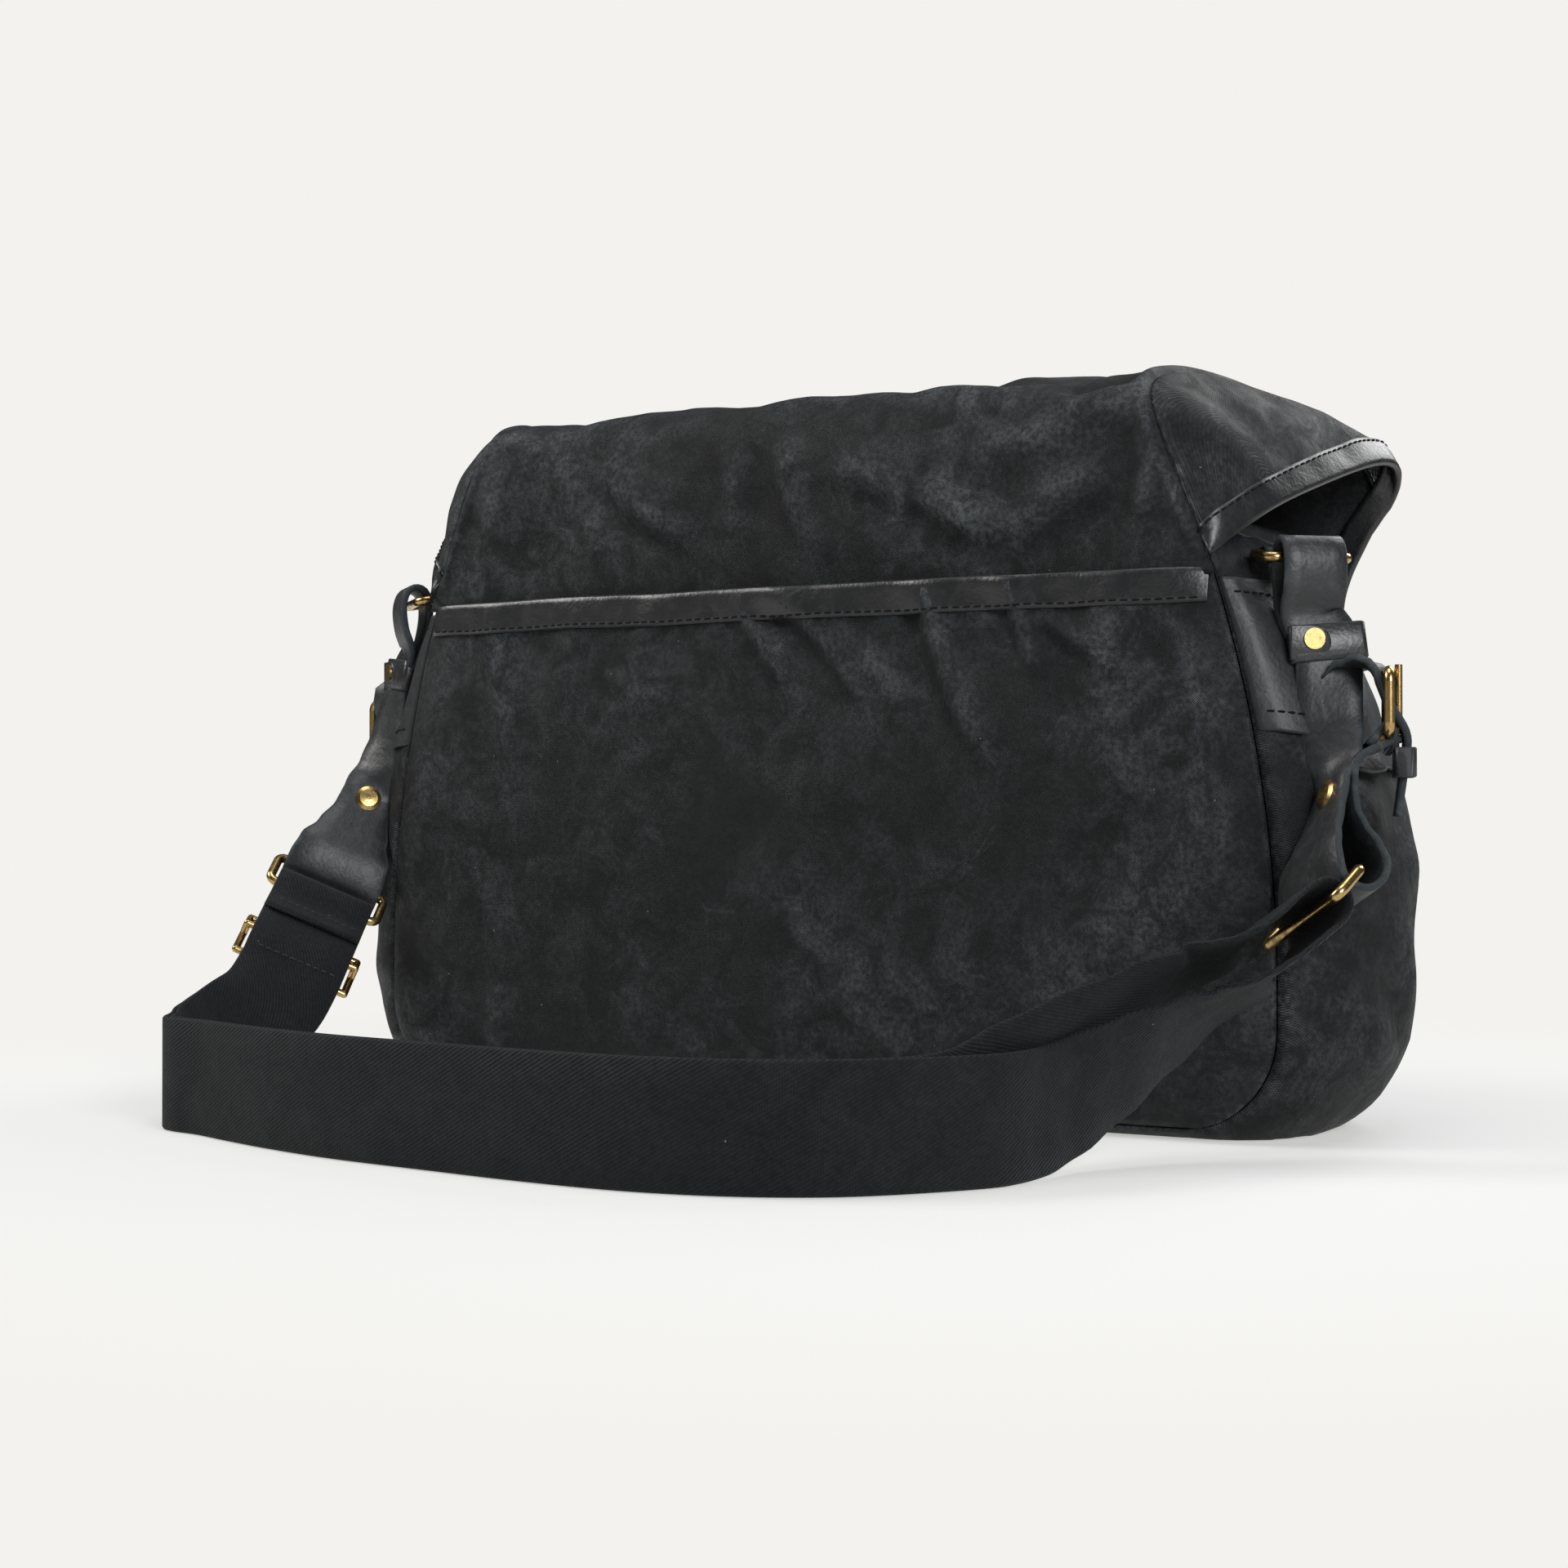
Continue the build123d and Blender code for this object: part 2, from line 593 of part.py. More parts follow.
def hangers():
    for name, sign in SIDES.items():
        bar, width, out, up = cap_frame(sign)
        cap_at = bar + up * CAP_RISE + out * (LEATHER + SEP)
        save(f"{name}_hanger_cap", rivet(cap_at, out, 5.75, 1.8, 2 * LEATHER + SEP))

        at, across, normal = hanger_frames(sign)[1]
        tube = Box(STRAP_W + 4.2, 9.2, 14) - Box(STRAP_W + 1.0, 6.8, 15)
        save(f"{name}_hanger_keeper", Plane(origin=at, x_dir=across, z_dir=UP) * tube)
        head = at + normal * 4.65 - across * (6.0 * sign) + UP * 1.5
        save(f"{name}_keeper_rivet", Plane(origin=head, z_dir=normal) * extrude(Circle(4.0), 1.2))

        at, across = (Vector(*v) for v in BILLETS[name][-2])
        tube = Box(STRAP_W + 4.2, 7.0, BAND_H) - Box(STRAP_W + 1.0, 4.6, BAND_H + 1)
        save(f"{name}_buckle_keeper", Plane(origin=at, x_dir=across, z_dir=UP) * tube)

        centre, along, face = BUCKLES[name]
        top = centre + UP * (BUCKLE_DROP / 2)
        foot = top - UP * BUCKLE_DROP
        save(f"{name}_hanger_buckle", wire_ring(top, along, -UP, BUCKLE_IN, BUCKLE_DROP))
        save(f"{name}_hanger_prong", prong(foot, along, UP, face, BUCKLE_DROP))


# Shoulder strap from the left lower ring to the floor and along it: centre, then the
# direction to the edge that is the upper one on the floor. Two layers share this run.
STRAP_RUN = (
    ((-201.0, -140.0, 43.5), (-0.66, -0.48, 0.57)), ((-201.0, -160.0, 34.5), (-0.52, -0.33, 0.78)),
    ((-199.0, -181.0, 27.0), (-0.28, -0.14, 0.95)), ((-195.5, -199.0, 22.6), (-0.06, 0, 1)),
    ((-190.5, -211.0, 22), (0, 0, 1)),
    ((-181.0, -216.5, 22), (0, 0, 1)), ((-165.0, -220.0, 22), (0, 0, 1)),
    ((-142.0, -228.5, 22), (0, 0, 1)), ((-112.0, -238.5, 22), (0, 0, 1)),
    ((-76.0, -247.5, 22), (0, 0, 1)), ((-31.0, -254.0, 22), (0, 0, 1)),
    ((15.0, -260.0, 22), (0, 0, 1)), ((56.0, -261.5, 22), (0, 0, 1)),
    ((90.0, -255.5, 22), (0, 0, 1)), ((117.0, -243.0, 22), (0, 0, 1)),
    ((136.0, -226.0, 22), (0, 0, 1)),
)
# The outer layer then rises to the right lower ring, and the inner one comes back.
RISE_OUT = (
    ((156.0, -201.0, 22), (0, 0, 1)), ((161.5, -186.0, 22), (0, 0, 1)),
    ((163.5, -166.0, 22.5), (0, 0, 1)), ((166.5, -147.0, 26), (0.1, -0.05, 1)),
    ((175.0, -128.0, 34), (0.3, -0.2, 0.93)), ((188.0, -111.0, 45), (0.5, -0.4, 0.75)),
    ((203.0, -99.0, 56), (0.65, -0.52, 0.52)),
)
RETURN_IN = (
    ((190.0, -106.0, 67), (0.62, -0.5, 0.55)), ((174.5, -128.0, 53), (0.42, -0.35, 0.8)),
    ((162.0, -155.0, 40), (0.2, -0.15, 0.95)), ((153.0, -183.0, 30), (0.05, 0, 1)),
    ((147.0, -203.0, 23.5), (0, 0, 1)),
)
# Round a lower ring's webbing bar: (along the strap, towards its outer face).
SEWN_END = ((28, -7.4), (20, -5.6), (13, -4.2), (1, -6.0), (-4.5, -4.5), (-6.4, 0), (-4.5, 4.5), (1, 6.0),
            (9, 3.0), (18, 1.4), (58, 1.4))
# The inner layer comes back through the slider, over its middle bar.
THREADED = ((58, -1.4), (50, -3.6), (44, -4.9), (32, -4.9), (25, -4.6))
U_TURN = ((25, 7), (10, 8), (0, 8), (-6, 5.5), (-8.5, 0), (-6, -5.5), (0, -8), (10, -8.5),
          (25, -8.5))
SLIDER_AT = 38.0         # slider centre, along the strap from the left lower ring
SLIDER_HALF = 12.0       # its outer bars lie this far either side of the middle bar
SLIDER_WIRE = 1.6
LAYER_GAP = 0.5          # between the two layers of webbing


def webbing_frame(sign):
    """Webbing bar of a lower ring: point, width direction, along the strap, outer face."""
    across = to_side(SQUARE_DIR, sign)
    pull = perpendicular(across, to_side(SQUARE_PULL, sign))
    along = perpendicular(across, to_side(Vector(-0.48, -0.66, -0.58), sign))
    outer = across.cross(along) * sign
    return to_side(SQUARE_AT, sign) + pull * SQUARE_DROP, across, along, outer


def round_bar(sign, points):
    """Stations of webbing near a lower ring, from (along the strap, outward) distances."""
    bar, across, along, outer = webbing_frame(sign)
    return [(bar + along * q + outer * m, across, WEBBING_W) for q, m in points]


def webbing():
    run, rise, back = (
        [(Vector(*at), Vector(*edge), WEBBING_W) for at, edge in points]
        for points in (STRAP_RUN, RISE_OUT, RETURN_IN)
    )
    half = (WEBBING_T + LAYER_GAP) / 2
    out_leg = round_bar(-1, SEWN_END) + shifted(run, -half) + rise
    in_leg = back + shifted(run, half)[::-1] + round_bar(-1, THREADED)
    save("webbing", ribbon(out_leg + round_bar(1, U_TURN) + in_leg, WEBBING_T))


def slider():
    bar, across, along, outer = webbing_frame(-1)
    half_span = (SQUARE_IN + 2 * SLIDER_WIRE) / 2
    clear = WEBBING_T / 2 + SEP + SLIDER_WIRE
    strap_at = SEWN_END[-1][1]
    face, back = strap_at + clear, strap_at - clear

    def spot(side, q, m):
        return bar + across * (side * half_span) + along * (SLIDER_AT + q) + outer * m

    ends = []
    for q in (-SLIDER_HALF, 0, SLIDER_HALF):
        ends.append((spot(-1, q, face if q else back), spot(1, q, face if q else back)))
    for side in (-1, 1):
        ends.append((spot(side, -SLIDER_HALF, face), spot(side, SLIDER_HALF, face)))
        ends.append((spot(side, 0, face), spot(side, 0, back)))
    frame = Pos(*ends[0][0]) * Sphere(SLIDER_WIRE)
    for start, end in ends:
        frame = frame + rod(start, end, SLIDER_WIRE)
        frame = frame + Pos(*start) * Sphere(SLIDER_WIRE) + Pos(*end) * Sphere(SLIDER_WIRE)
    save("strap_slider", frame)


if __name__ == "__main__":
    bag_body()
    mouth_binding()
    rear_pocket()
    pocket_binding()
    gusset_patches()
    ring_tabs()
    flap_panels()
    wings()
    flap_binding()
    closures()
    side_rings()
    lower_rings()
    hanger_straps()
    hangers()
    webbing()
    slider()
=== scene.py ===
import math
import bpy
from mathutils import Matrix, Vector, noise


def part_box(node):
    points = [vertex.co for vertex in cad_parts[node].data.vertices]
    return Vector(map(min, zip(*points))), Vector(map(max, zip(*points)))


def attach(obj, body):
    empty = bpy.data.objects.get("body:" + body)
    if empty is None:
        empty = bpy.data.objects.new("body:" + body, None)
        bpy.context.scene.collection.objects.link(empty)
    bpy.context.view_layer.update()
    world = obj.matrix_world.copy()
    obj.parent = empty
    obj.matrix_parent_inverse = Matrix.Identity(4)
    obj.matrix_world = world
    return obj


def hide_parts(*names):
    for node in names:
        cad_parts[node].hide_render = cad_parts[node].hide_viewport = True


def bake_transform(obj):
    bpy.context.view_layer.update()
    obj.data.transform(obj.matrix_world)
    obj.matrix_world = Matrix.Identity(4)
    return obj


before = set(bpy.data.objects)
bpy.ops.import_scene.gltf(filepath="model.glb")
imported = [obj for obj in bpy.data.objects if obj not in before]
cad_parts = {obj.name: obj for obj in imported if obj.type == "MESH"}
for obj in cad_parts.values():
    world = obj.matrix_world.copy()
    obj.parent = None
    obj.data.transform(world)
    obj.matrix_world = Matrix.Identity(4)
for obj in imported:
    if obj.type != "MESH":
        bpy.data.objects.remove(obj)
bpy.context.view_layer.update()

# Lengths below are in millimetres; meshes are written in metres.
MM = 0.001
SIDES = {"right": 1, "left": -1}
UP = Vector((0, 0, 1))


def box_mm(node):
    """Lowest and highest corner of a CAD node, in millimetres."""
    low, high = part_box(node)
    return Vector(low) / MM, Vector(high) / MM


# ------------------------------------------------------------ sizes of the bag
PANEL_LOW, PANEL_HIGH = box_mm("back_panel")
BASE_HALF = PANEL_HIGH.x          # half width of the panels
RIM_Z = PANEL_HIGH.z              # height of the mouth
BACK_Y, FRONT_Y = PANEL_LOW.y, 60.0
TAPER, TAPER_RISE, WIDEST_Z = 26.0, 160.0, 60.0
CORNER_R, SEAM_Z = 38.0, 4.0
PANEL_INSET, PANEL_FOOT = 0.6, SEAM_Z + 1.0     # the shells stop this near their seams
POCKET_TOP = box_mm("pocket_binding")[1].z - 2.0
CANVAS_T, BINDING_T = 1.3, 1.1     # thickness of the canvas and of the binding's leather


# ----------------------------------------------------------------- small maths
def smooth(a, b, x):
    """0 below a, 1 above b, smooth between."""
    t = min(max((x - a) / (b - a), 0.0), 1.0)
    return t * t * (3 - 2 * t)


def lerp(a, b, t):
    return a + (b - a) * t


def table(points, x):
    """Smooth curve of a value through (x, value) points in rising x."""
    if x <= points[0][0]:
        return points[0][1]
    for (xa, a), (xb, b) in zip(points, points[1:]):
        if x <= xb:
            return lerp(a, b, smooth(xa, xb, x) * 0.5 + (x - xa) / (xb - xa) * 0.5)
    return points[-1][1]


def catmull(points, t):
    """Point on a Catmull-Rom curve through points, t from 0 to len(points) - 1."""
    i = min(int(t), len(points) - 2)
    f = t - i
    p1, p2 = points[i], points[i + 1]
    p0 = points[i - 1] if i > 0 else p1 * 2 - p2
    p3 = points[i + 2] if i + 2 < len(points) else p2 * 2 - p1
    return 0.5 * ((2 * p1) + (p2 - p0) * f + (2 * p0 - 5 * p1 + 4 * p2 - p3) * f * f
                  + (3 * p1 - p0 - 3 * p2 + p3) * f * f * f)


def resample(points, step):
    """Points about step apart along the Catmull-Rom curve through points."""
    dense = [catmull(points, i / 12) for i in range(12 * (len(points) - 1) + 1)]
    lengths = [0.0]
    for a, b in zip(dense, dense[1:]):
        lengths.append(lengths[-1] + (b - a).length)
    count = max(int(lengths[-1] / step), 2)
    out, j = [], 0
    for i in range(count + 1):
        want = lengths[-1] * i / count
        while j < len(lengths) - 2 and lengths[j + 1] < want:
            j += 1
        span = max(lengths[j + 1] - lengths[j], 1e-9)
        out.append(dense[j].lerp(dense[j + 1], (want - lengths[j]) / span))
    return out


def crowd(u):
    """Moves evenly spaced values of u towards 0 and 1, where cloth meets a seam."""
    return 0.65 * (0.5 - 0.5 * math.cos(math.pi * u)) + 0.35 * u


def fuzz(p, scale, seed=0.0):
    """Smooth noise from -1 to 1, about scale millimetres across."""
    return noise.noise(Vector((p[0], p[1], p[2])) / scale + Vector((seed, seed * 1.7, seed * 0.3)))


def crease(x, z, line):
    """Ridge with a valley beside it along a line: (xa, za, xb, zb, width, height)."""
    xa, za, xb, zb, width, height = line
    dx, dz = xb - xa, zb - za
    length = math.hypot(dx, dz)
    t = ((x - xa) * dx + (z - za) * dz) / length ** 2
    side = ((x - xa) * dz - (z - za) * dx) / length + 5 * math.sin(3.0 * t + xa)
    fade = smooth(-0.12, 0.12, t) * (1 - smooth(0.55, 1.2, t))
    ridge = math.exp(-(side / width) ** 2) - 0.65 * math.exp(-((side - 1.7 * width) / width) ** 2)
    return height * fade * ridge


# ---------------------------------------------------------------- mesh writing
def new_object(name, verts, faces, materials, indices=None, uvs=None, wear_and_ridge_light=None):
    """Smooth-shaded mesh object from points in millimetres."""
    mesh = bpy.data.meshes.new(name)
    mesh.from_pydata([v * MM for v in verts], [], faces)
    for material in materials:
        mesh.materials.append(material)
    if indices:
        mesh.polygons.foreach_set("material_index", indices)
    mesh.polygons.foreach_set("use_smooth", [True] * len(faces))
    if uvs:
        layer = mesh.uv_layers.new(name="weave")
        for loop in mesh.loops:
            layer.data[loop.index].uv = uvs[loop.vertex_index]
    # Per-vertex paleness of cloth: scuffing near seams and painted highlight on raised folds.
    if wear_and_ridge_light is not None:
        attribute = mesh.attributes.new("wear_and_ridge_light", "FLOAT", "POINT")
        attribute.data.foreach_set("value", wear_and_ridge_light)
    mesh.validate()
    mesh.update()
    obj = bpy.data.objects.new(name, mesh)
    bpy.context.collection.objects.link(obj)
    return obj


def sheet_object(name, rows, cols, place, thickness, materials, edge_slot=0):
    """Closed cloth shell. place(u, v) gives the outer point, its weave UV and how pale it is
    painted, from scuffing and from painted highlight on raised folds.
    """
    outer, uvs, wear_and_ridge_light = [], [], []
    for i in range(rows + 1):
        for j in range(cols + 1):
            point, uv, lightened = place(j / cols, i / rows)
            outer.append(point)
            uvs.append(uv)
            wear_and_ridge_light.append(lightened)
    at = lambda i, j: i * (cols + 1) + j
    normals = []
    for i in range(rows + 1):
        for j in range(cols + 1):
            du = outer[at(i, min(j + 1, cols))] - outer[at(i, max(j - 1, 0))]
            dv = outer[at(min(i + 1, rows), j)] - outer[at(max(i - 1, 0), j)]
            normals.append(du.cross(dv).normalized())
    count = len(outer)
    verts = outer + [p - n * thickness for p, n in zip(outer, normals)]
    faces, indices = [], []
    inner_index = 1 if len(materials) > 1 else 0
    for i in range(rows):
        for j in range(cols):
            quad = (at(i, j), at(i, j + 1), at(i + 1, j + 1), at(i + 1, j))
            faces.append(quad)
            indices.append(0)
            faces.append(tuple(count + k for k in quad[::-1]))
            indices.append(inner_index)
    rim = [at(0, j) for j in range(cols)] + [at(i, cols) for i in range(rows)]
    rim += [at(rows, j) for j in range(cols, 0, -1)] + [at(i, 0) for i in range(rows, 0, -1)]
    for a, b in zip(rim, rim[1:] + rim[:1]):
        faces.append((b, a, count + a, count + b))
        indices.append(edge_slot)
    return new_object(name, verts, faces, materials, indices, uvs * 2, wear_and_ridge_light * 2)


def tube_faces(rings, size, base=0, flip=1):
    """Quads that join closed rings of size points, and last the two end caps."""
    faces = []
    for i in range(rings - 1):
        a, b = base + i * size, base + (i + 1) * size
        faces += [(a + j, a + (j + 1) % size, b + (j + 1) % size, b + j) for j in range(size)]
    last = base + (rings - 1) * size
    faces += [tuple(range(base, base + size))[::-1], tuple(range(last, last + size))]
    return faces if flip > 0 else [face[::-1] for face in faces]


def rounded_box(half_x, half_y, corner, steps):
    """Outline of a rectangle whose four corners are arcs of steps parts."""
    outline = []
    for sx, sy, start in ((1, 1, 0), (-1, 1, 90), (-1, -1, 180), (1, -1, 270)):
        for k in range(steps + 1):
            angle = math.radians(start + 90 * k / steps)
            outline.append(Vector((sx * (half_x - corner) + corner * math.cos(angle),
                                   sy * (half_y - corner) + corner * math.sin(angle))))
    return outline


def swept(name, stations, outline, materials, edges):
    """Closed outline swept along stations of (centre, across, normal, width, length).

    outline is a list of (across, normal) offsets. Faces numbered in edges, and the ends, get
    the second material.
    """
    verts, uvs = [], []
    for centre, across, normal, width, along in stations:
        for a, n in outline:
            verts.append(centre + across * (a * width) + normal * n)
            uvs.append((along * MM, a * width * MM))
    indices = [int(j in edges) for j in range(len(outline))] * (len(stations) - 1) + [1, 1]
    faces = tube_faces(len(stations), len(outline))
    return new_object(name, verts, faces, materials, indices, uvs)


def strip_frames(stations, step=2.0):
    """Even stations along a strip of (centre, across, width): adds normals and lengths."""
    centres = [Vector(s[0]) for s in stations]
    dense, frames = [], []
    per_span = 10
    for i in range(len(stations) - 1):
        for k in range(per_span):
            t = i + k / per_span
            dense.append((catmull(centres, t), t))
    dense.append((centres[-1].copy(), float(len(stations) - 1)))
    kept = [dense[0]]
    for item in dense[1:-1]:
        if (item[0] - kept[-1][0]).length >= step:
            kept.append(item)
    kept.append(dense[-1])
    along = 0.0
    for n, (centre, t) in enumerate(kept):
        i = min(int(t), len(stations) - 2)
        f = smooth(0, 1, t - i)
        across, ahead = (Vector(stations[i + k][1]).normalized() for k in (0, 1))
        across = across.lerp(ahead, f)
        width = lerp(stations[i][2], stations[i + 1][2], f)
        tangent = (kept[min(n + 1, len(kept) - 1)][0] - kept[max(n - 1, 0)][0]).normalized()
        across = (across - tangent * across.dot(tangent)).normalized()
        if n:
            along += (centre - kept[n - 1][0]).length
        frames.append((centre, across, across.cross(tangent).normalized(), width, along))
    return frames


def strap_outline(thickness, bevel, splits=6):
    """Flat strap of unit width with bevelled edges; returns points and edge face test."""
    half = thickness / 2
    face = [(-0.5 + (i + 0.5) / splits, half) for i in range(splits)]
    points = [(-0.5 + bevel, half)] + face[1:-1] + [(0.5 - bevel, half)]
    points += [(0.5, half * 0.35), (0.5, -half * 0.35)]
    back = [(-x, -y) for x, y in points[:-2]]
    points += back + [(-0.5, -half * 0.35), (-0.5, half * 0.35)]
    count = len(back)
    edges = {count - 1, count, count + 1}
    edges |= {j + count + 2 for j in (count - 1, count, count + 1)}
    return points[::-1], {len(points) - 2 - j for j in edges} | {len(points) - 1}


def strap(name, stations, thickness, materials, bevel=0.035, step=2.0):
    """Strip along stations of (centre, across, width); gives its object and its frames."""
    points, edges = strap_outline(thickness, bevel)
    frames = strip_frames(stations, step)
    return swept(name, frames, points, materials, edges), frames


def stitches(name, points, normals, material, pitch=4.4, length=3.2, radius=0.42):
    """Row of thread stitches along a line of points, lying on the surface."""
    verts, faces = [], []
    total, run = 0.0, []
    for a, b in zip(points, points[1:]):
        run.append((total, a, b))
        total += (b - a).length
    sides, rings = 6, ((0.0, 0.35, -0.5), (0.15, 0.9, 0.05), (0.5, 1.0, 0.35), (0.85, 0.9, 0.05),
                       (1.0, 0.35, -0.5))
    spot, index = pitch / 2, 0
    while spot < total - length:
        while index < len(run) - 1 and run[index + 1][0] < spot + length / 2:
            index += 1
        start, a, b = run[index]
        direction = (b - a).normalized()
        centre = a + direction * (spot + length / 2 - start)
        normal = normals[index]
        side = direction.cross(normal).normalized()
        base = len(verts)
        for f, swell, lift in rings:
            middle = centre + direction * ((f - 0.5) * length) + normal * (radius * lift)
            for k in range(sides):
                angle = 2 * math.pi * k / sides
                verts.append(middle + (side * math.cos(angle) + normal * math.sin(angle))
                             * radius * swell)
        faces += tube_faces(len(rings), sides, base)
        spot += pitch
    return new_object(name, verts, faces, [material])


def bound_edge(name, body, nodes, rows, flip=1):
    """Leather folded over a cloth edge, with its stitches, riding on body in place of nodes.

    Each row has points of the cloth's outer face, from the edge itself inwards.
    """
    lift, cloth = BINDING_T, CANVAS_T
    verts, uvs, line, normals = [], [], [], []
    along = 0.0
    for i, row in enumerate(rows):
        ahead, behind = rows[min(i + 1, len(rows) - 1)], rows[max(i - 1, 0)]
        across = []
        for k in range(len(row)):
            run = ahead[k] - behind[k]
            into = row[min(k + 1, len(row) - 1)] - row[max(k - 1, 0)]
            across.append(run.cross(into).normalized() * flip)
        if i:
            along += (row[0] - rows[i - 1][0]).length
        into = (row[1] - row[0]).normalized()
        top = across[0]
        swell = 1 + 0.18 * fuzz(row[0], 9.0, 61.0)
        outer = [row[k] + across[k] * (lift * swell) for k in range(len(row) - 1, 0, -1)]
        outer.insert(0, row[-1] + across[-1] * 0.05)
        outer.append(row[0] + top * lift * 0.85 - into * 0.35)
        outer.append(row[0] + top * lift * 0.2 - into * 1.05)
        outer.append(row[0] - top * (cloth * 0.5) - into * 1.3)
        outer.append(row[0] - top * (cloth + lift * 0.2) - into * 1.05)
        under = [row[k] - across[k] * (cloth + lift * 0.85) for k in range(len(row))]
        back = [row[k] - across[k] * (cloth * 0.9) for k in range(len(row) - 1, 1, -1)]
        ring = outer + under + back + [row[1] - across[1] * cloth * 0.5, row[-2] - across[-2] * 0.1]
        verts += ring
        uvs += [(along * MM, k * MM) for k in range(len(ring))]
        far = row[-2].lerp(row[-1], 0.35)
        line.append(far + across[-2] * (lift + 0.15))
        normals.append(across[-2])
    faces = tube_faces(len(rows), len(ring), 0, flip)
    band = new_object(name, verts, faces, [BINDING_LEATHER], uvs=uvs)
    thread = stitches(f"{name}_stitches", line, normals, THREAD)
    finish_piece(band, body, "binding_leather", *nodes)
    finish_piece(thread, body, "binding_leather")


def evened(rows, reach):
    """Averages each row with its neighbours, so that a binding turns smoothly."""
    out = []
    for i in range(len(rows)):
        near = rows[max(i - reach, 0):i + reach + 1]
        out.append([sum((row[k] for row in near), Vector()) / len(near)
                    for k in range(len(rows[i]))])
    return out


# ------------------------------------------------------------------- materials
class Nodes:
    """Node tree of a new material, with short ways to add nodes and join them."""

    def __init__(self, name):
        self.material = bpy.data.materials.new(name)
        self.material.use_nodes = True
        self.tree = self.material.node_tree
        self.shader = self.tree.nodes["Principled BSDF"]

    def put(self, socket, value):
        """Links an output to a socket, or writes a plain value in it."""
        if isinstance(value, bpy.types.NodeSocket):
            self.tree.links.new(value, socket)
        else:
            socket.default_value = value

    def add(self, kind, **values):
        node = self.tree.nodes.new(f"ShaderNode{kind}")
        for key, value in values.items():
            if hasattr(node, key):
                setattr(node, key, value)
            else:
                self.put(node.inputs[key], value)
        return node

    def look(self, **values):
        """Sets sockets of the shader; an underscore stands for a space."""
        for key, value in values.items():
            self.put(self.shader.inputs[key.replace("_", " ")], value)

    def math(self, operation, *values):
        node = self.add("Math", operation=operation)
        for socket, value in zip(node.inputs, values):
            self.put(socket, value)
        return node.outputs[0]

    def times(self, a, b):
        return self.math("MULTIPLY", a, b)

    def plus(self, a, b):
        return self.math("ADD", a, b)

    def wave(self, source, turn):
        return self.math("SINE", self.times(source, turn))

    def ramp(self, source, low, high):
        limits = {"From Min": low, "From Max": high}
        return self.add("MapRange", Value=source, **limits).outputs[0]

    def noise(self, place, **values):
        return self.add("TexNoise", Vector=place, **values).outputs[0]

    def mix(self, factor, a, b):
        node = self.add("Mix", data_type="RGBA")
        for socket, value in zip((node.inputs[0], node.inputs[6], node.inputs[7]), (factor, a, b)):
            self.put(socket, value)
        return node.outputs[2]

    def bumps(self, *layers):
        """Bump layers of (height, strength, distance), each on top of the one before."""
        normal = None
        for height, strength, distance in layers:
            node = self.add("Bump", Strength=strength, Distance=distance, Height=height)
            if normal:
                self.put(node.inputs["Normal"], normal)
            normal = node.outputs[0]
        self.put(self.shader.inputs["Normal"], normal)


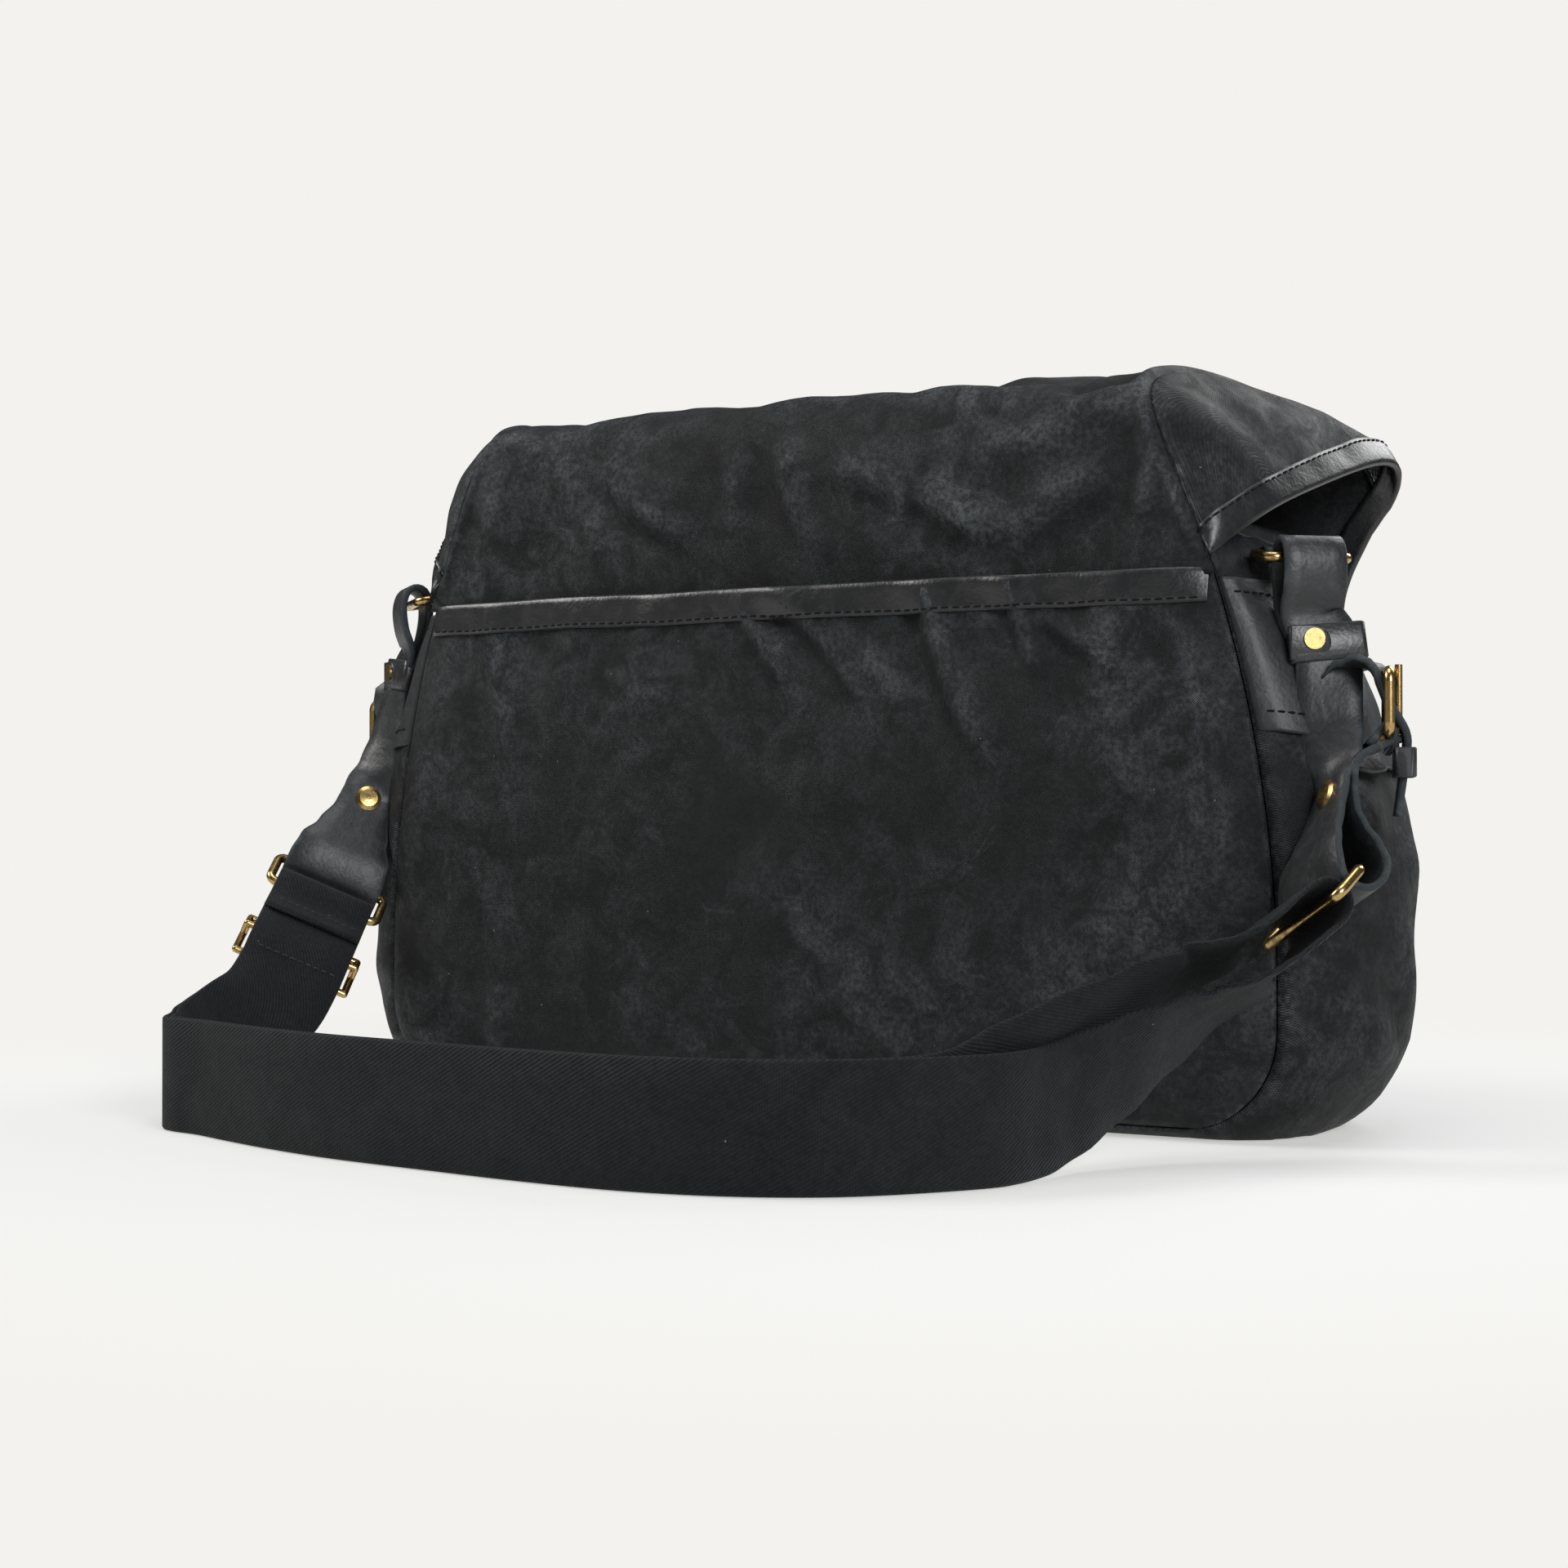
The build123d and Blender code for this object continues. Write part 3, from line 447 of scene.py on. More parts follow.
def cloth_material(name, base, bloom, roughness, pitch, weave, sheen=0.04, wax=0.12, gloss=0.3):
    """Woven cloth: a weave bump on the UVs, painted shade between the threads, waxy bloom, scuffs,
    painted highlights on the ridges of folds, and specks of lint.
    """
    n = Nodes(name)
    place = n.add("TexCoord").outputs["Object"]
    uv = n.add("SeparateXYZ", Vector=n.add("UVMap", uv_map="weave").outputs[0]).outputs
    turn = 2 * math.pi / (pitch * MM)
    if weave == "plain":
        thread = n.times(n.wave(uv[0], turn), n.wave(uv[1], turn))
    else:
        twill = n.math("SINE", n.plus(n.times(uv[1], turn), n.times(uv[0], -turn * 0.55)))
        thread = n.plus(twill, n.times(n.wave(uv[0], turn * 1.6), 0.35))
    large = n.noise(place, Scale=11.0, Detail=5.0, Roughness=0.62)
    fine = n.noise(place, Scale=520.0, Detail=3.0)
    scuff = n.noise(place, Scale=62.0, Detail=8.0, Roughness=0.72, Distortion=0.8)
    grainy = n.ramp(scuff, 0.4, 0.68)
    cloudy = n.times(n.ramp(large, 0.38, 0.72), grainy)
    # Per-vertex paleness: scuffing near seams, and painted highlight on the ridges of folds and
    # bulges.
    lightened = n.add("Attribute", attribute_name="wear_and_ridge_light").outputs["Fac"]
    rubbed = n.times(lightened, n.plus(n.times(grainy, 0.9), 0.25))
    # Painted shade of the weave: the dips between threads are painted a darker copy of the base
    # colour and the thread tops keep the base colour, broken up by fine noise.
    lit_thread_tops = n.times(n.plus(n.ramp(thread, -0.6, 1.0), 0.25), n.plus(n.ramp(fine, 0.36, 0.64), 0.3))
    # Pale wax tone where there is random bloom, scuffing and painted highlight on fold ridges, laid
    # on the thread tops only.
    bloom_scuff_and_ridge_highlight = n.times(n.plus(n.times(cloudy, wax), rubbed), lit_thread_tops)
    weave_valley_shade = tuple(0.45 * c for c in base[:3]) + (1,)
    plain = n.mix(n.math("MINIMUM", lit_thread_tops, 1.0), weave_valley_shade, base)
    colour = n.mix(n.math("MINIMUM", bloom_scuff_and_ridge_highlight, 1.0), plain, bloom)
    cracks = n.add("TexVoronoi", Vector=place, Scale=7.0, feature="DISTANCE_TO_EDGE")
    thin = n.math("LESS_THAN", cracks.outputs["Distance"], 0.0035)
    scratch = n.times(thin, n.ramp(scuff, 0.52, 0.66))
    colour = n.mix(n.times(scratch, 0.25 * wax), colour, bloom)
    cells = n.add("TexVoronoi", Vector=place, Scale=85.0)
    pick = n.add("SeparateColor", Color=cells.outputs["Color"]).outputs[0]
    lint = n.times(n.math("LESS_THAN", cells.outputs["Distance"], 0.03),
                   n.math("GREATER_THAN", pick, 0.6))
    n.look(Base_Color=n.mix(lint, colour, LINT_GREY), Sheen_Weight=sheen, Sheen_Roughness=0.5,
           Roughness=n.math("SUBTRACT", roughness, n.times(grainy, 0.22)), Specular_IOR_Level=gloss)
    n.bumps((n.plus(thread, n.times(fine, 1.2)), 0.55, 0.00022), (scuff, 0.35, 0.0012))
    return n.material


def leather_material(name, base, lightened, roughness, grain=520.0, coat=0.0):
    """Smooth-finished leather with fine grain, long soft creases and rubbed patches."""
    n = Nodes(name)
    place = n.add("TexCoord").outputs["Object"]
    cells = n.add("TexVoronoi", Vector=place, Scale=grain).outputs["Distance"]
    folds = n.noise(place, Scale=90.0, Detail=6.0, Roughness=0.65, Distortion=1.2)
    n.look(Base_Color=n.mix(n.ramp(folds, 0.5, 0.8), base, lightened), Specular_IOR_Level=0.5,
           Roughness=n.plus(roughness, n.times(folds, 0.22)), Coat_Weight=coat, Coat_Roughness=0.35)
    n.bumps((cells, 0.28, 0.00025), (folds, 0.4, 0.0009))
    return n.material


def brass_material():
    """Brass with patches of tarnish."""
    n = Nodes("aged_brass")
    tarnish = n.noise(n.add("TexCoord").outputs["Object"], Scale=260.0, Detail=5.0, Roughness=0.6)
    dull = n.ramp(tarnish, 0.48, 0.75)
    n.look(Base_Color=n.mix(dull, (0.5, 0.345, 0.14, 1), (0.2, 0.135, 0.06, 1)), Metallic=1.0,
           Roughness=n.plus(0.25, n.times(dull, 0.2)))
    n.bumps((tarnish, 0.12, 0.0002))
    return n.material


LINT_GREY = (0.12, 0.125, 0.13, 1)
# Each cloth's second colour is its pale wax bloom, also used as the colour of the painted highlight
# on fold ridges.
CANVAS = cloth_material(
    "waxed_canvas", (0.0058, 0.0064, 0.0072, 1), (0.09, 0.1, 0.108, 1), 0.66, 0.95, "plain",
    sheen=0.0, wax=0.75, gloss=0.21)
LINING = cloth_material(
    "lining_cloth", (0.006, 0.006, 0.007, 1), (0.02, 0.02, 0.022, 1), 0.85, 0.8, "plain")
WEBBING = cloth_material(
    "twill_webbing", (0.0095, 0.0105, 0.0125, 1), (0.03, 0.033, 0.037, 1), 0.8, 1.5, "twill",
    gloss=0.16)
# Thread in its own dark colour, made darker still as painted shade of the stitch holes.
THREAD = cloth_material(
    "thread", (0.004, 0.004, 0.0045, 1), (0.01, 0.01, 0.011, 1), 0.8, 0.6, "plain", sheen=0.0,
    gloss=0.15)
GREY_THREAD = cloth_material(
    "grey_thread", (0.03, 0.034, 0.04, 1), (0.06, 0.067, 0.075, 1), 0.8, 0.6, "plain")
STRAP_LEATHER = leather_material(
    "strap_leather", (0.0125, 0.0135, 0.015, 1), (0.03, 0.033, 0.036, 1), 0.34)
EDGE_LEATHER = leather_material(
    "leather_edge", (0.018, 0.024, 0.028, 1), (0.06, 0.073, 0.08, 1), 0.78, 900.0)
BINDING_LEATHER = leather_material(
    "binding_leather", (0.008, 0.0083, 0.009, 1), (0.02, 0.02, 0.022, 1), 0.26, 650.0, 0.2)
PATCH_LEATHER = leather_material(
    "patch_leather", (0.011, 0.012, 0.0135, 1), (0.026, 0.028, 0.031, 1), 0.38, 480.0)
BRASS = brass_material()


def finish_piece(obj, body, slot, *nodes):
    if nodes:
        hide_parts(*nodes)
    if body:
        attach(obj, body)
    return obj


# -------------------------------------------------------------- shape: the body
def seam_half(z):
    """Half width of the back and front panels at height z."""
    if z < SEAM_Z + CORNER_R:
        rise = CORNER_R - max(z - SEAM_Z, 0.0)
        return BASE_HALF - CORNER_R + math.sqrt(max(CORNER_R ** 2 - rise ** 2, 0.0))
    return BASE_HALF - TAPER * (max(z - WIDEST_Z, 0.0) / TAPER_RISE) ** 2


def edge_distance(x, z):
    """How far a point of the back panel is from its sewn edge."""
    corner_x, corner_z = BASE_HALF - CORNER_R, SEAM_Z + CORNER_R
    if z < corner_z and abs(x) > corner_x:
        return max(CORNER_R - math.hypot(abs(x) - corner_x, corner_z - z), 0.0)
    return max(min(seam_half(z) - abs(x), z - SEAM_Z), 0.0)


FOLD_DEPTH = 1.35      # multiplies the heights of all creases of the pocket and the hood
# Creases as (x, z at one end, x, z at the other, width, height).
BACK_CREASES = (
    (-6, 214, 44, 163, 5.5, 2.6), (-14, 214, 6, 160, 5.0, 1.6), (66, 214, 99, 140, 6.0, 2.8),
    (96, 212, 120, 182, 5.0, 2.2), (-106, 212, -112, 150, 9.0, 1.2), (-150, 212, -132, 110, 9, 1.4),
    (141, 210, 152, 120, 10.0, 1.6), (24, 212, 60, 150, 5.0, 1.4), (-60, 213, -66, 170, 7.0, 0.9),
    (184, 128, 120, 40, 14.0, 1.6), (38, 20, -30, 92, 16.0, -1.4), (-139, 48, -152, 18, 8.0, 1.2),
    (118, 205, 146, 172, 5.0, 1.5), (170, 190, 178, 120, 7.0, 1.3), (-180, 190, -186, 90, 8.0, 1.2),
)


def back_relief(x, z):
    """Height of the folds of the rear pocket, out of its plane."""
    folds = FOLD_DEPTH * sum(crease(x, z, line) for line in BACK_CREASES)
    soft = 1.7 * fuzz((x, 0, z), 70.0, 1.0) + 0.8 * fuzz((x, 0, z), 27.0, 2.0)
    fine = 0.22 * fuzz((x, 0, z), 8.0, 3.0)
    return folds, soft + fine


def pocket_point(x, z):
    """Outer face of the rear pocket at a point, and how pale it is painted: scuffed near its seam,
    with painted highlight on the crease ridges.
    """
    inside = edge_distance(x, z)
    folds, soft = back_relief(x, z)
    hold = smooth(0.0, 26.0, inside)
    crown = 5.0 * (1 - (x / BASE_HALF) ** 2) * smooth(0, 60, z)
    turn = 6.6 * (1 - math.exp(-inside / 6.5))
    y = BACK_Y - 0.6 - turn - (crown + folds + soft) * hold
    # Paler on the crease ridges as painted highlight, and near the seam as scuffing.
    rub_and_ridge_light = 0.5 * max(folds, 0.0) / 2.5 + 0.5 * (1 - smooth(0.0, 2.5, inside))
    return Vector((x, y, z)), min(rub_and_ridge_light, 0.75)


def pocket_place(u, v):
    z = lerp(PANEL_FOOT, POCKET_TOP - 0.5, v ** 0.92)
    half = seam_half(z) - PANEL_INSET
    point, rub_and_ridge_light = pocket_point(lerp(-half, half, crowd(u)), z)
    return point, (point.x * MM, z * MM), rub_and_ridge_light


def bulge(z):
    """How far the gusset stands out beyond the panel seam at height z."""
    return table(((42, 30.0), (60, 32.0), (97, 34.0), (122, 31.5), (160, 26.0), (190, 20.0),
                  (215, 12.0), (236, 3.0)), z)


FLOOR_GAP = 0.05
SIDE_ROWS = 44         # entries of the gusset's line down its upright side
CORNER_BULGE = ((0, 30.0), (28, 25.0), (55, 19.0), (90, 9.0))


def gusset_line():
    """The gusset's seam from the right rim under the base to the left rim.

    Each entry is (x, z, outward x, outward z, bulge, length from the start).
    """
    line, along, last = [], 0.0, None
    side = [(seam_half(z), z, 1.0, 0.05, bulge(z)) for z in
            (RIM_Z - i * (RIM_Z - SEAM_Z - CORNER_R) / SIDE_ROWS for i in range(SIDE_ROWS + 1))]
    corner_x, corner_z = BASE_HALF - CORNER_R, SEAM_Z + CORNER_R
    corner = []
    for i in range(1, 17):
        angle = math.radians(90 * i / 16)
        corner.append((corner_x + CORNER_R * math.cos(angle), corner_z - CORNER_R * math.sin(angle),
                       math.cos(angle), -math.sin(angle), table(CORNER_BULGE, 90 * i / 16)))
    floor = [(corner_x * (1 - i / 24), SEAM_Z, 0.0, -1.0, 9.0) for i in range(1, 25)]
    half = side + corner + floor
    full = half + [(-x, z, -nx, nz, b) for x, z, nx, nz, b in half[-2::-1]]
    for x, z, nx, nz, b in full:
        if last:
            along += math.hypot(x - last[0], z - last[1])
        last = (x, z)
        line.append((x, z, nx, nz, b, along))
    return line


GUSSET_LINE = gusset_line()
GUSSET_CREASES = (
    # y, z at one end, then the other: on the unrolled gusset side
    (-44, 150, 10, 60, 8.0, 2.2), (-30, 130, 30, 96, 9.0, 1.8), (40, 150, 0, 70, 10.0, 1.8),
    (-40, 60, 20, 22, 8.0, 2.4), (-30, 90, 30, 40, 10.0, 2.0), (50, 110, 44, 40, 8.0, 1.6),
)


def gusset_place(u, v):
    """u runs from the back seam to the front seam, v along the gusset line."""
    spot = v * (len(GUSSET_LINE) - 1)
    i = min(int(spot), len(GUSSET_LINE) - 2)
    f = spot - i
    x, z, nx, nz, swell, along = (lerp(a, b, f) for a, b in zip(GUSSET_LINE[i], GUSSET_LINE[i + 1]))
    t = crowd(u)
    y = lerp(BACK_Y, FRONT_Y, t)
    profile = max(1 - abs(2 * t - 1) ** 2.3, 0.0) ** 0.62
    folds = sum(crease(y, z, c) for c in GUSSET_CREASES) if z > 12 else 0.0
    soft = 1.6 * fuzz((x, y, z), 45.0, 5.0) + 0.8 * fuzz((x, y, z), 18.0, 6.0)
    out = swell * profile + (folds + soft) * profile
    place = Vector((x + nx * out, y, z + nz * out))
    place.z = max(place.z, FLOOR_GAP)
    # Paler on the crease ridges as painted highlight, and along the back seam as scuffing.
    rub_and_ridge_light = 0.4 * max(folds, 0.0) / 2.0 + 0.45 * (1 - smooth(0.0, 0.04, u))
    return place, (y * MM, along * MM), min(rub_and_ridge_light, 0.7)


def front_place(u, v):
    z = lerp(PANEL_FOOT, RIM_Z, v ** 0.95)
    half = seam_half(z) - PANEL_INSET
    x = lerp(half, -half, u)
    inside = edge_distance(x, z)
    soft = 1.6 * fuzz((x, 9, z), 60.0, 8.0) + 0.7 * fuzz((x, 9, z), 24.0, 9.0)
    crown = 5.0 * (1 - (x / BASE_HALF) ** 2) * smooth(0, 60, z) * (1 - smooth(200, 236, z))
    swell = (crown + soft) * smooth(0, 24, inside) + 1.5 * (1 - math.exp(-inside / 6.0))
    y = FRONT_Y + swell * (1 - smooth(218, 230, z))
    return Vector((x, y, z)), (x * MM, z * MM), 0.3 * (1 - smooth(0.0, 2.5, inside))


def back_place(u, v):
    z = lerp(PANEL_FOOT, RIM_Z, v)
    half = seam_half(z) - PANEL_INSET
    x = lerp(-half, half, u)
    return Vector((x, BACK_Y - 0.2, z)), (x * MM, z * MM), 0.0


def build_body():
    """Cloth shells of the body: (piece, rows, columns, its shape, inner cloth, CAD nodes)."""
    for name, rows, cols, place, inner, nodes in (
        ("gusset_canvas", 250, 40, lambda u, v: gusset_place(1 - u, v), LINING,
         ("right_gusset", "left_gusset", "bottom_panel")),
        ("back_panel_canvas", 40, 60, back_place, LINING, ("back_panel",)),
        ("front_panel_canvas", 90, 130, front_place, LINING, ("front_panel",)),
        ("rear_pocket_canvas", 130, 200, pocket_place, CANVAS, ("rear_pocket",)),
    ):
        shell = sheet_object(name, rows, cols, place, CANVAS_T, [CANVAS, inner])
        finish_piece(shell, "bag", "canvas", *nodes)


def build_mouth():
    """Binding round the mouth, whose outline is a rectangle with rounded corners."""
    dists = (0.0, 1.5, 4.0, 7.5)
    turns = rounded_box(seam_half(RIM_Z) + 3.8, (FRONT_Y - BACK_Y + 1.0) / 2, 6.0, 8)
    path, step = [], 4.0
    for a, b in zip(turns, turns[1:] + turns[:1]):
        count = max(int((b - a).length / step), 1)
        path += [a.lerp(b, k / count) for k in range(count)]
    path.append(turns[0])
    rows = [[Vector((p.x, p.y + (FRONT_Y + BACK_Y) / 2, RIM_Z - d)) for d in dists] for p in path]
    bound_edge("mouth_binding_leather", "bag", ["mouth_binding"], rows)


def build_lining():
    """Four loose walls inside the bag."""
    def place(u, v):
        z = lerp(RIM_Z - 1.5, 8.0, v)
        spot = u * 4          # one wall for each whole number
        half, back, front = seam_half(max(z, 20)) - 6.0, BACK_Y + 4.5, FRONT_Y - 5.0
        middle = (back + front) / 2
        corners = [Vector((half, front)), Vector((-half, front)), Vector((-half, back)),
                   Vector((half, back)), Vector((half, front))]
        i = min(int(spot), 3)
        p = corners[i].lerp(corners[i + 1], spot - i)
        pinch = 1 - smooth(0.85, 1.0, v) * 0.08
        point = Vector((p.x * pinch, middle + (p.y - middle) * pinch, z))
        wave = 1.2 * fuzz(point, 30.0, 4.0)
        return point + Vector((0, wave, 0)) * 0.5, (u, v * 0.2), 0.0

    lining = sheet_object("lining_bag", 40, 160, lambda u, v: place(1 - u, 1 - v), 0.6, [LINING])
    finish_piece(lining, "bag", "lining_cloth", "lining")


def build_pocket_binding():
    rows, dists = [], (0.0, 1.5, 4.0, 7.0, 10.0, 12.5)
    count = 260
    half = seam_half(POCKET_TOP) - 0.4
    for i in range(count + 1):
        x = lerp(-half, half, crowd(i / count))
        wave = 0.6 * fuzz((x, 0, 0), 40.0, 11.0)
        rows.append([pocket_point(x, POCKET_TOP + wave - d)[0] for d in dists])
    bound_edge("pocket_binding_leather", "bag", ["pocket_binding"], evened(rows, 4), -1)


# -------------------------------------------------------------- shape: the hood
# Side profile of the hood and flap, from the pocket over the top to the front: (y, z, half width).
FLAP_LOW_Z, FLAP_CORNER_R = 74.0, 42.0
FACE_Y, FACE_TOP_Z = 77.0, 252.0     # the flap's face is in front of and below these
FLAP_HALF = ((74, 194.0), (130, 192.0), (190, 189.0), (214, 190.5), (228, 196.0), (240, 203.0),
             (252, 208.0))
HOOD = [Vector(p) for p in (
    (-54.2, 213, 183), (-55.0, 226, 178.5), (-56.5, 246, 170.5), (-57.0, 266, 162.5),
    (-54.0, 281, 157.5), (-46, 290.5, 155.5), (-32, 295.5, 157), (-12, 298, 161.5),
    (12, 296.5, 169), (36, 291.5, 179.5), (58, 283.5, 191), (71, 273, 200), (77.5, 260, 206),
    (79.2, 244, 205),
    (79.6, 220, 193), (79.8, 190, 189), (79.8, 150, 191), (79.6, 110, 193), (79.4, 74.8, 194),
)]
# Lower edge of the right wing, from the back corner to the tip beside the flap's side edge.
WING_EDGE = [Vector(p) for p in (
    (180.5, -57.0, 219.5), (189, -40, 231.5), (198, -20, 243), (207, 15, 255.5), (213, 45, 264),
    (216, 62, 266.5), (217, 72, 264.5), (214.5, 79, 257), (208.5, 80.6, 247.5),
)]


HOOD_CREASES = (
    (-84, 64, -44, 20, 7.0, 2.4), (-108, 66, -92, 18, 8.0, 1.8), (4, 68, 12, 14, 7.0, 2.2),
    (66, 44, 100, 22, 9.0, 3.0), (100, 22, 142, 40, 9.0, 2.6), (150, 72, 84, 58, 9.0, 3.2),
    (152, 60, 158, 18, 5.0, 2.4), (-140, 66, -152, 30, 9.0, 2.0), (120, 80, 40, 98, 12.0, 2.2),
    (40, 100, -20, 84, 12.0, 1.8), (-70, 90, -130, 78, 12.0, 1.6), (30, 60, 60, 30, 8.0, 1.6),
    (-30, 60, -20, 22, 8.0, 1.5), (152, 84, 110, 70, 6.0, 2.0), (-156, 84, -120, 66, 7.0, 1.8),
    (80, 120, 150, 150, 12.0, 2.0), (-150, 150, -60, 118, 14.0, 2.0),
)


def hood_relief(x, s):
    """Folds of the hood over x and the running length s from its back edge."""
    folds = FOLD_DEPTH * sum(crease(x, s, line) for line in HOOD_CREASES)
    soft = 2.4 * fuzz((x, 40, s), 62.0, 21.0) + 1.1 * fuzz((x, 40, s), 25.0, 22.0)
    return folds, soft + 0.25 * fuzz((x, 40, s), 8.0, 23.0)


HOOD_STEP = 2.2
HOOD_PATH = resample(HOOD, HOOD_STEP)
WING_FROM = next(i for i, p in enumerate(HOOD_PATH) if p.y > 220)
WING_TO = next(i for i, p in enumerate(HOOD_PATH) if p.x > FACE_Y and p.y < FACE_TOP_Z)


def flap_half(p):
    """Half width of the hood or flap at a point (y, z, half) of its profile."""
    half = p.z
    if p.x > FACE_Y and p.y < FACE_TOP_Z:
        half = table(FLAP_HALF, p.y)
    corner = FLAP_LOW_Z + FLAP_CORNER_R
    if p.x > FACE_Y and p.y < corner:
        rise = min(corner - p.y, FLAP_CORNER_R)
        half += math.sqrt(FLAP_CORNER_R ** 2 - rise ** 2) - FLAP_CORNER_R
    return half


def hood_point(x, spot):
    """Outer face of the hood and flap at x and a place along the profile."""
    i = min(int(spot), len(HOOD_PATH) - 2)
    p = HOOD_PATH[i].lerp(HOOD_PATH[i + 1], spot - i)
    run = HOOD_PATH[min(i + 2, len(HOOD_PATH) - 1)] - HOOD_PATH[max(i - 1, 0)]
    out = Vector((0, -run.y, run.x)).normalized()
    folds, soft = hood_relief(x, spot * HOOD_STEP)
    near = max(flap_half(p) - abs(x), 0.0)
    hold = smooth(0, 20, near) * smooth(0.0, 14.0, spot)
    front = smooth(60.0, 79.0, p.x) * smooth(262, 235, p.y) if p.y < 262 else 0.0
    calm = 1 - 0.55 * front
    seam = smooth(3.0, 9.0, spot) * (1 - smooth(WING_TO - 6, WING_TO, spot))
    ridge = 1.3 * math.exp(-((near - 4.5) / 2.6) ** 2) - 2.4 * math.exp(-(near / 1.7) ** 2)
    lift = (folds * calm + soft * calm) * hold + ridge * seam
    # Paler on the fold ridges as painted highlight, and beside the seam ridge as scuffing.
    rub_and_ridge_light = 0.5 * max(folds, 0) / 2.5 + 0.45 * math.exp(-((near - 3.5) / 2.0) ** 2) * seam
    return Vector((x, p.x, p.y)) + out * lift, min(rub_and_ridge_light, 0.8)


def hood_place(u, v):
    spot = v * (len(HOOD_PATH) - 1)
    i = min(int(spot), len(HOOD_PATH) - 2)
    half = flap_half(HOOD_PATH[i].lerp(HOOD_PATH[i + 1], spot - i))
    x = lerp(-half, half, crowd(u))
    point, rub_and_ridge_light = hood_point(x, spot)
    return point, (x * MM, spot * HOOD_STEP * MM), rub_and_ridge_light


def wing_surface(sign):
    """Function of (share from lower to upper edge, share along) giving the wing's outer face."""
    count = WING_TO - WING_FROM
    last = len(HOOD_PATH) - 1
    side = 1.0 if sign > 0 else 0.0
    upper = [hood_place(side, (WING_FROM + k) / last)[0] for k in range(count + 1)]
    upper = resample([Vector((p.x * sign, p.y, p.z)) for p in upper], 3.0)
    lower = resample(WING_EDGE, 3.0)

    def place(u, v):
        a, b = v * (len(upper) - 1), v * (len(lower) - 1)
        i, j = min(int(a), len(upper) - 2), min(int(b), len(lower) - 2)
        top, low = upper[i].lerp(upper[i + 1], a - i), lower[j].lerp(lower[j + 1], b - j)
        rise = top - low
        out = Vector((rise.z, 0, -rise.x)).normalized()
        mid = low.lerp(top, u)
        tuck = smooth(0.0, 10.0, rise.length)
        belly = math.sin(math.pi * u) * min(rise.length * 0.09, 5.0)
        shoulder = 2.2 * (1 - math.exp(-(1 - u) * rise.length / 1.6)) * smooth(0.0, 0.5, u)
        soft = 1.8 * fuzz(mid, 30.0, 31.0 + sign) + 0.8 * fuzz(mid, 13.0, 33.0)
        pleat = 1.1 * math.sin(mid.y * 0.16 + mid.z * 0.1) * u * (1 - u) * 3
        loose = (soft + pleat) * math.sin(math.pi * u) ** 0.7
        point = mid + out * (belly + shoulder + loose) * tuck
        # Slightly pale all over, paler on the raised bulges as painted highlight, and near the
        # upper seam as scuffing.
        lightened = 0.12 + 0.4 * max(soft, 0) / 2 + 0.35 * smooth(0.9, 0.98, u)
        return Vector((point.x * sign, point.y, point.z)), rise.length, min(lightened, 0.6)

    return place


def wing_binding_rows(place, dists):
    rows = []
    count = 120
    for i in range(count + 1):
        v = i / count
        edge, length, _ = place(0.0, v)
        length = max(length, 1.0)
        reach = place(min(dists[-1] / length, 1.0), v)[0] - edge
        slope = reach.normalized()
        row = []
        for d in dists:
            inside = place(d / length, v)[0] if d < length * 0.8 else edge + slope * d
            row.append(inside)
        rows.append(row)
    return rows


def flap_binding_rows(dists):
    """Rows down the right side of the flap, along its lower edge and up the left side."""
    low = FLAP_LOW_Z + FLAP_CORNER_R
    path = []
    for i in range(60):
        z = lerp(246.0, low, i / 60)
        slope = (table(FLAP_HALF, z + 1) - table(FLAP_HALF, z - 1)) / 2
        path.append((table(FLAP_HALF, z), z, Vector((-1, slope)).normalized()))
    centre = FLAP_HALF[0][1] - FLAP_CORNER_R
    for i in range(19):
        angle = math.radians(90 * i / 18)
        into = Vector((-math.cos(angle), math.sin(angle)))
        path.append((centre - into.x * FLAP_CORNER_R, low - into.y * FLAP_CORNER_R, into))
    path += [(centre * (1 - i / 30), FLAP_LOW_Z, Vector((0, 1))) for i in range(1, 31)]
    path += [(-x, z, Vector((-into.x, into.y))) for x, z, into in path[-2::-1]]
    rows = []
    for x, z, into in path:
        rows.append([flap_face(x + into.x * d, z + into.y * d) for d in dists])
    return rows


def flap_face(x, z):
    """Outer face of the flap's front at height z."""
    spots = [i for i, p in enumerate(HOOD_PATH) if p.x > 60]
    for i in spots[:-1]:
        a, b = HOOD_PATH[i].y, HOOD_PATH[i + 1].y
        if b <= z <= a:
            return hood_point(x, i + (a - z) / (a - b))[0]
    return hood_point(x, len(HOOD_PATH) - 1)[0]


def build_hood():
    hood = sheet_object("hood_canvas", 200, 190, hood_place, CANVAS_T, [CANVAS, CANVAS])
    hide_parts("hood_back", "hood_top", "flap_front")
    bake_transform(hood)
    dists = (0.0, 1.2, 3.5, 6.0, 8.5, 10.5)
    rows = {}
    for name, sign in SIDES.items():
        place = wing_surface(sign)

        def cloth(u, v, place=place, sign=sign):
            u = crowd(u)
            point, length, lightened = place(1 - u if sign > 0 else u, v)
            return point, (point.y * MM, u * length * MM), lightened

        wing = sheet_object(f"{name}_wing_canvas", 110, 36, cloth, CANVAS_T, [CANVAS, CANVAS])
        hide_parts(f"{name}_wing")
        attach(wing, "flap")
        rows[name] = wing_binding_rows(place, dists)
    path = rows["right"] + flap_binding_rows(dists) + rows["left"][::-1]
    nodes = ["flap_binding", "right_wing_binding", "left_wing_binding"]
    bound_edge("hood_binding_leather", "flap", nodes, evened(path, 3))


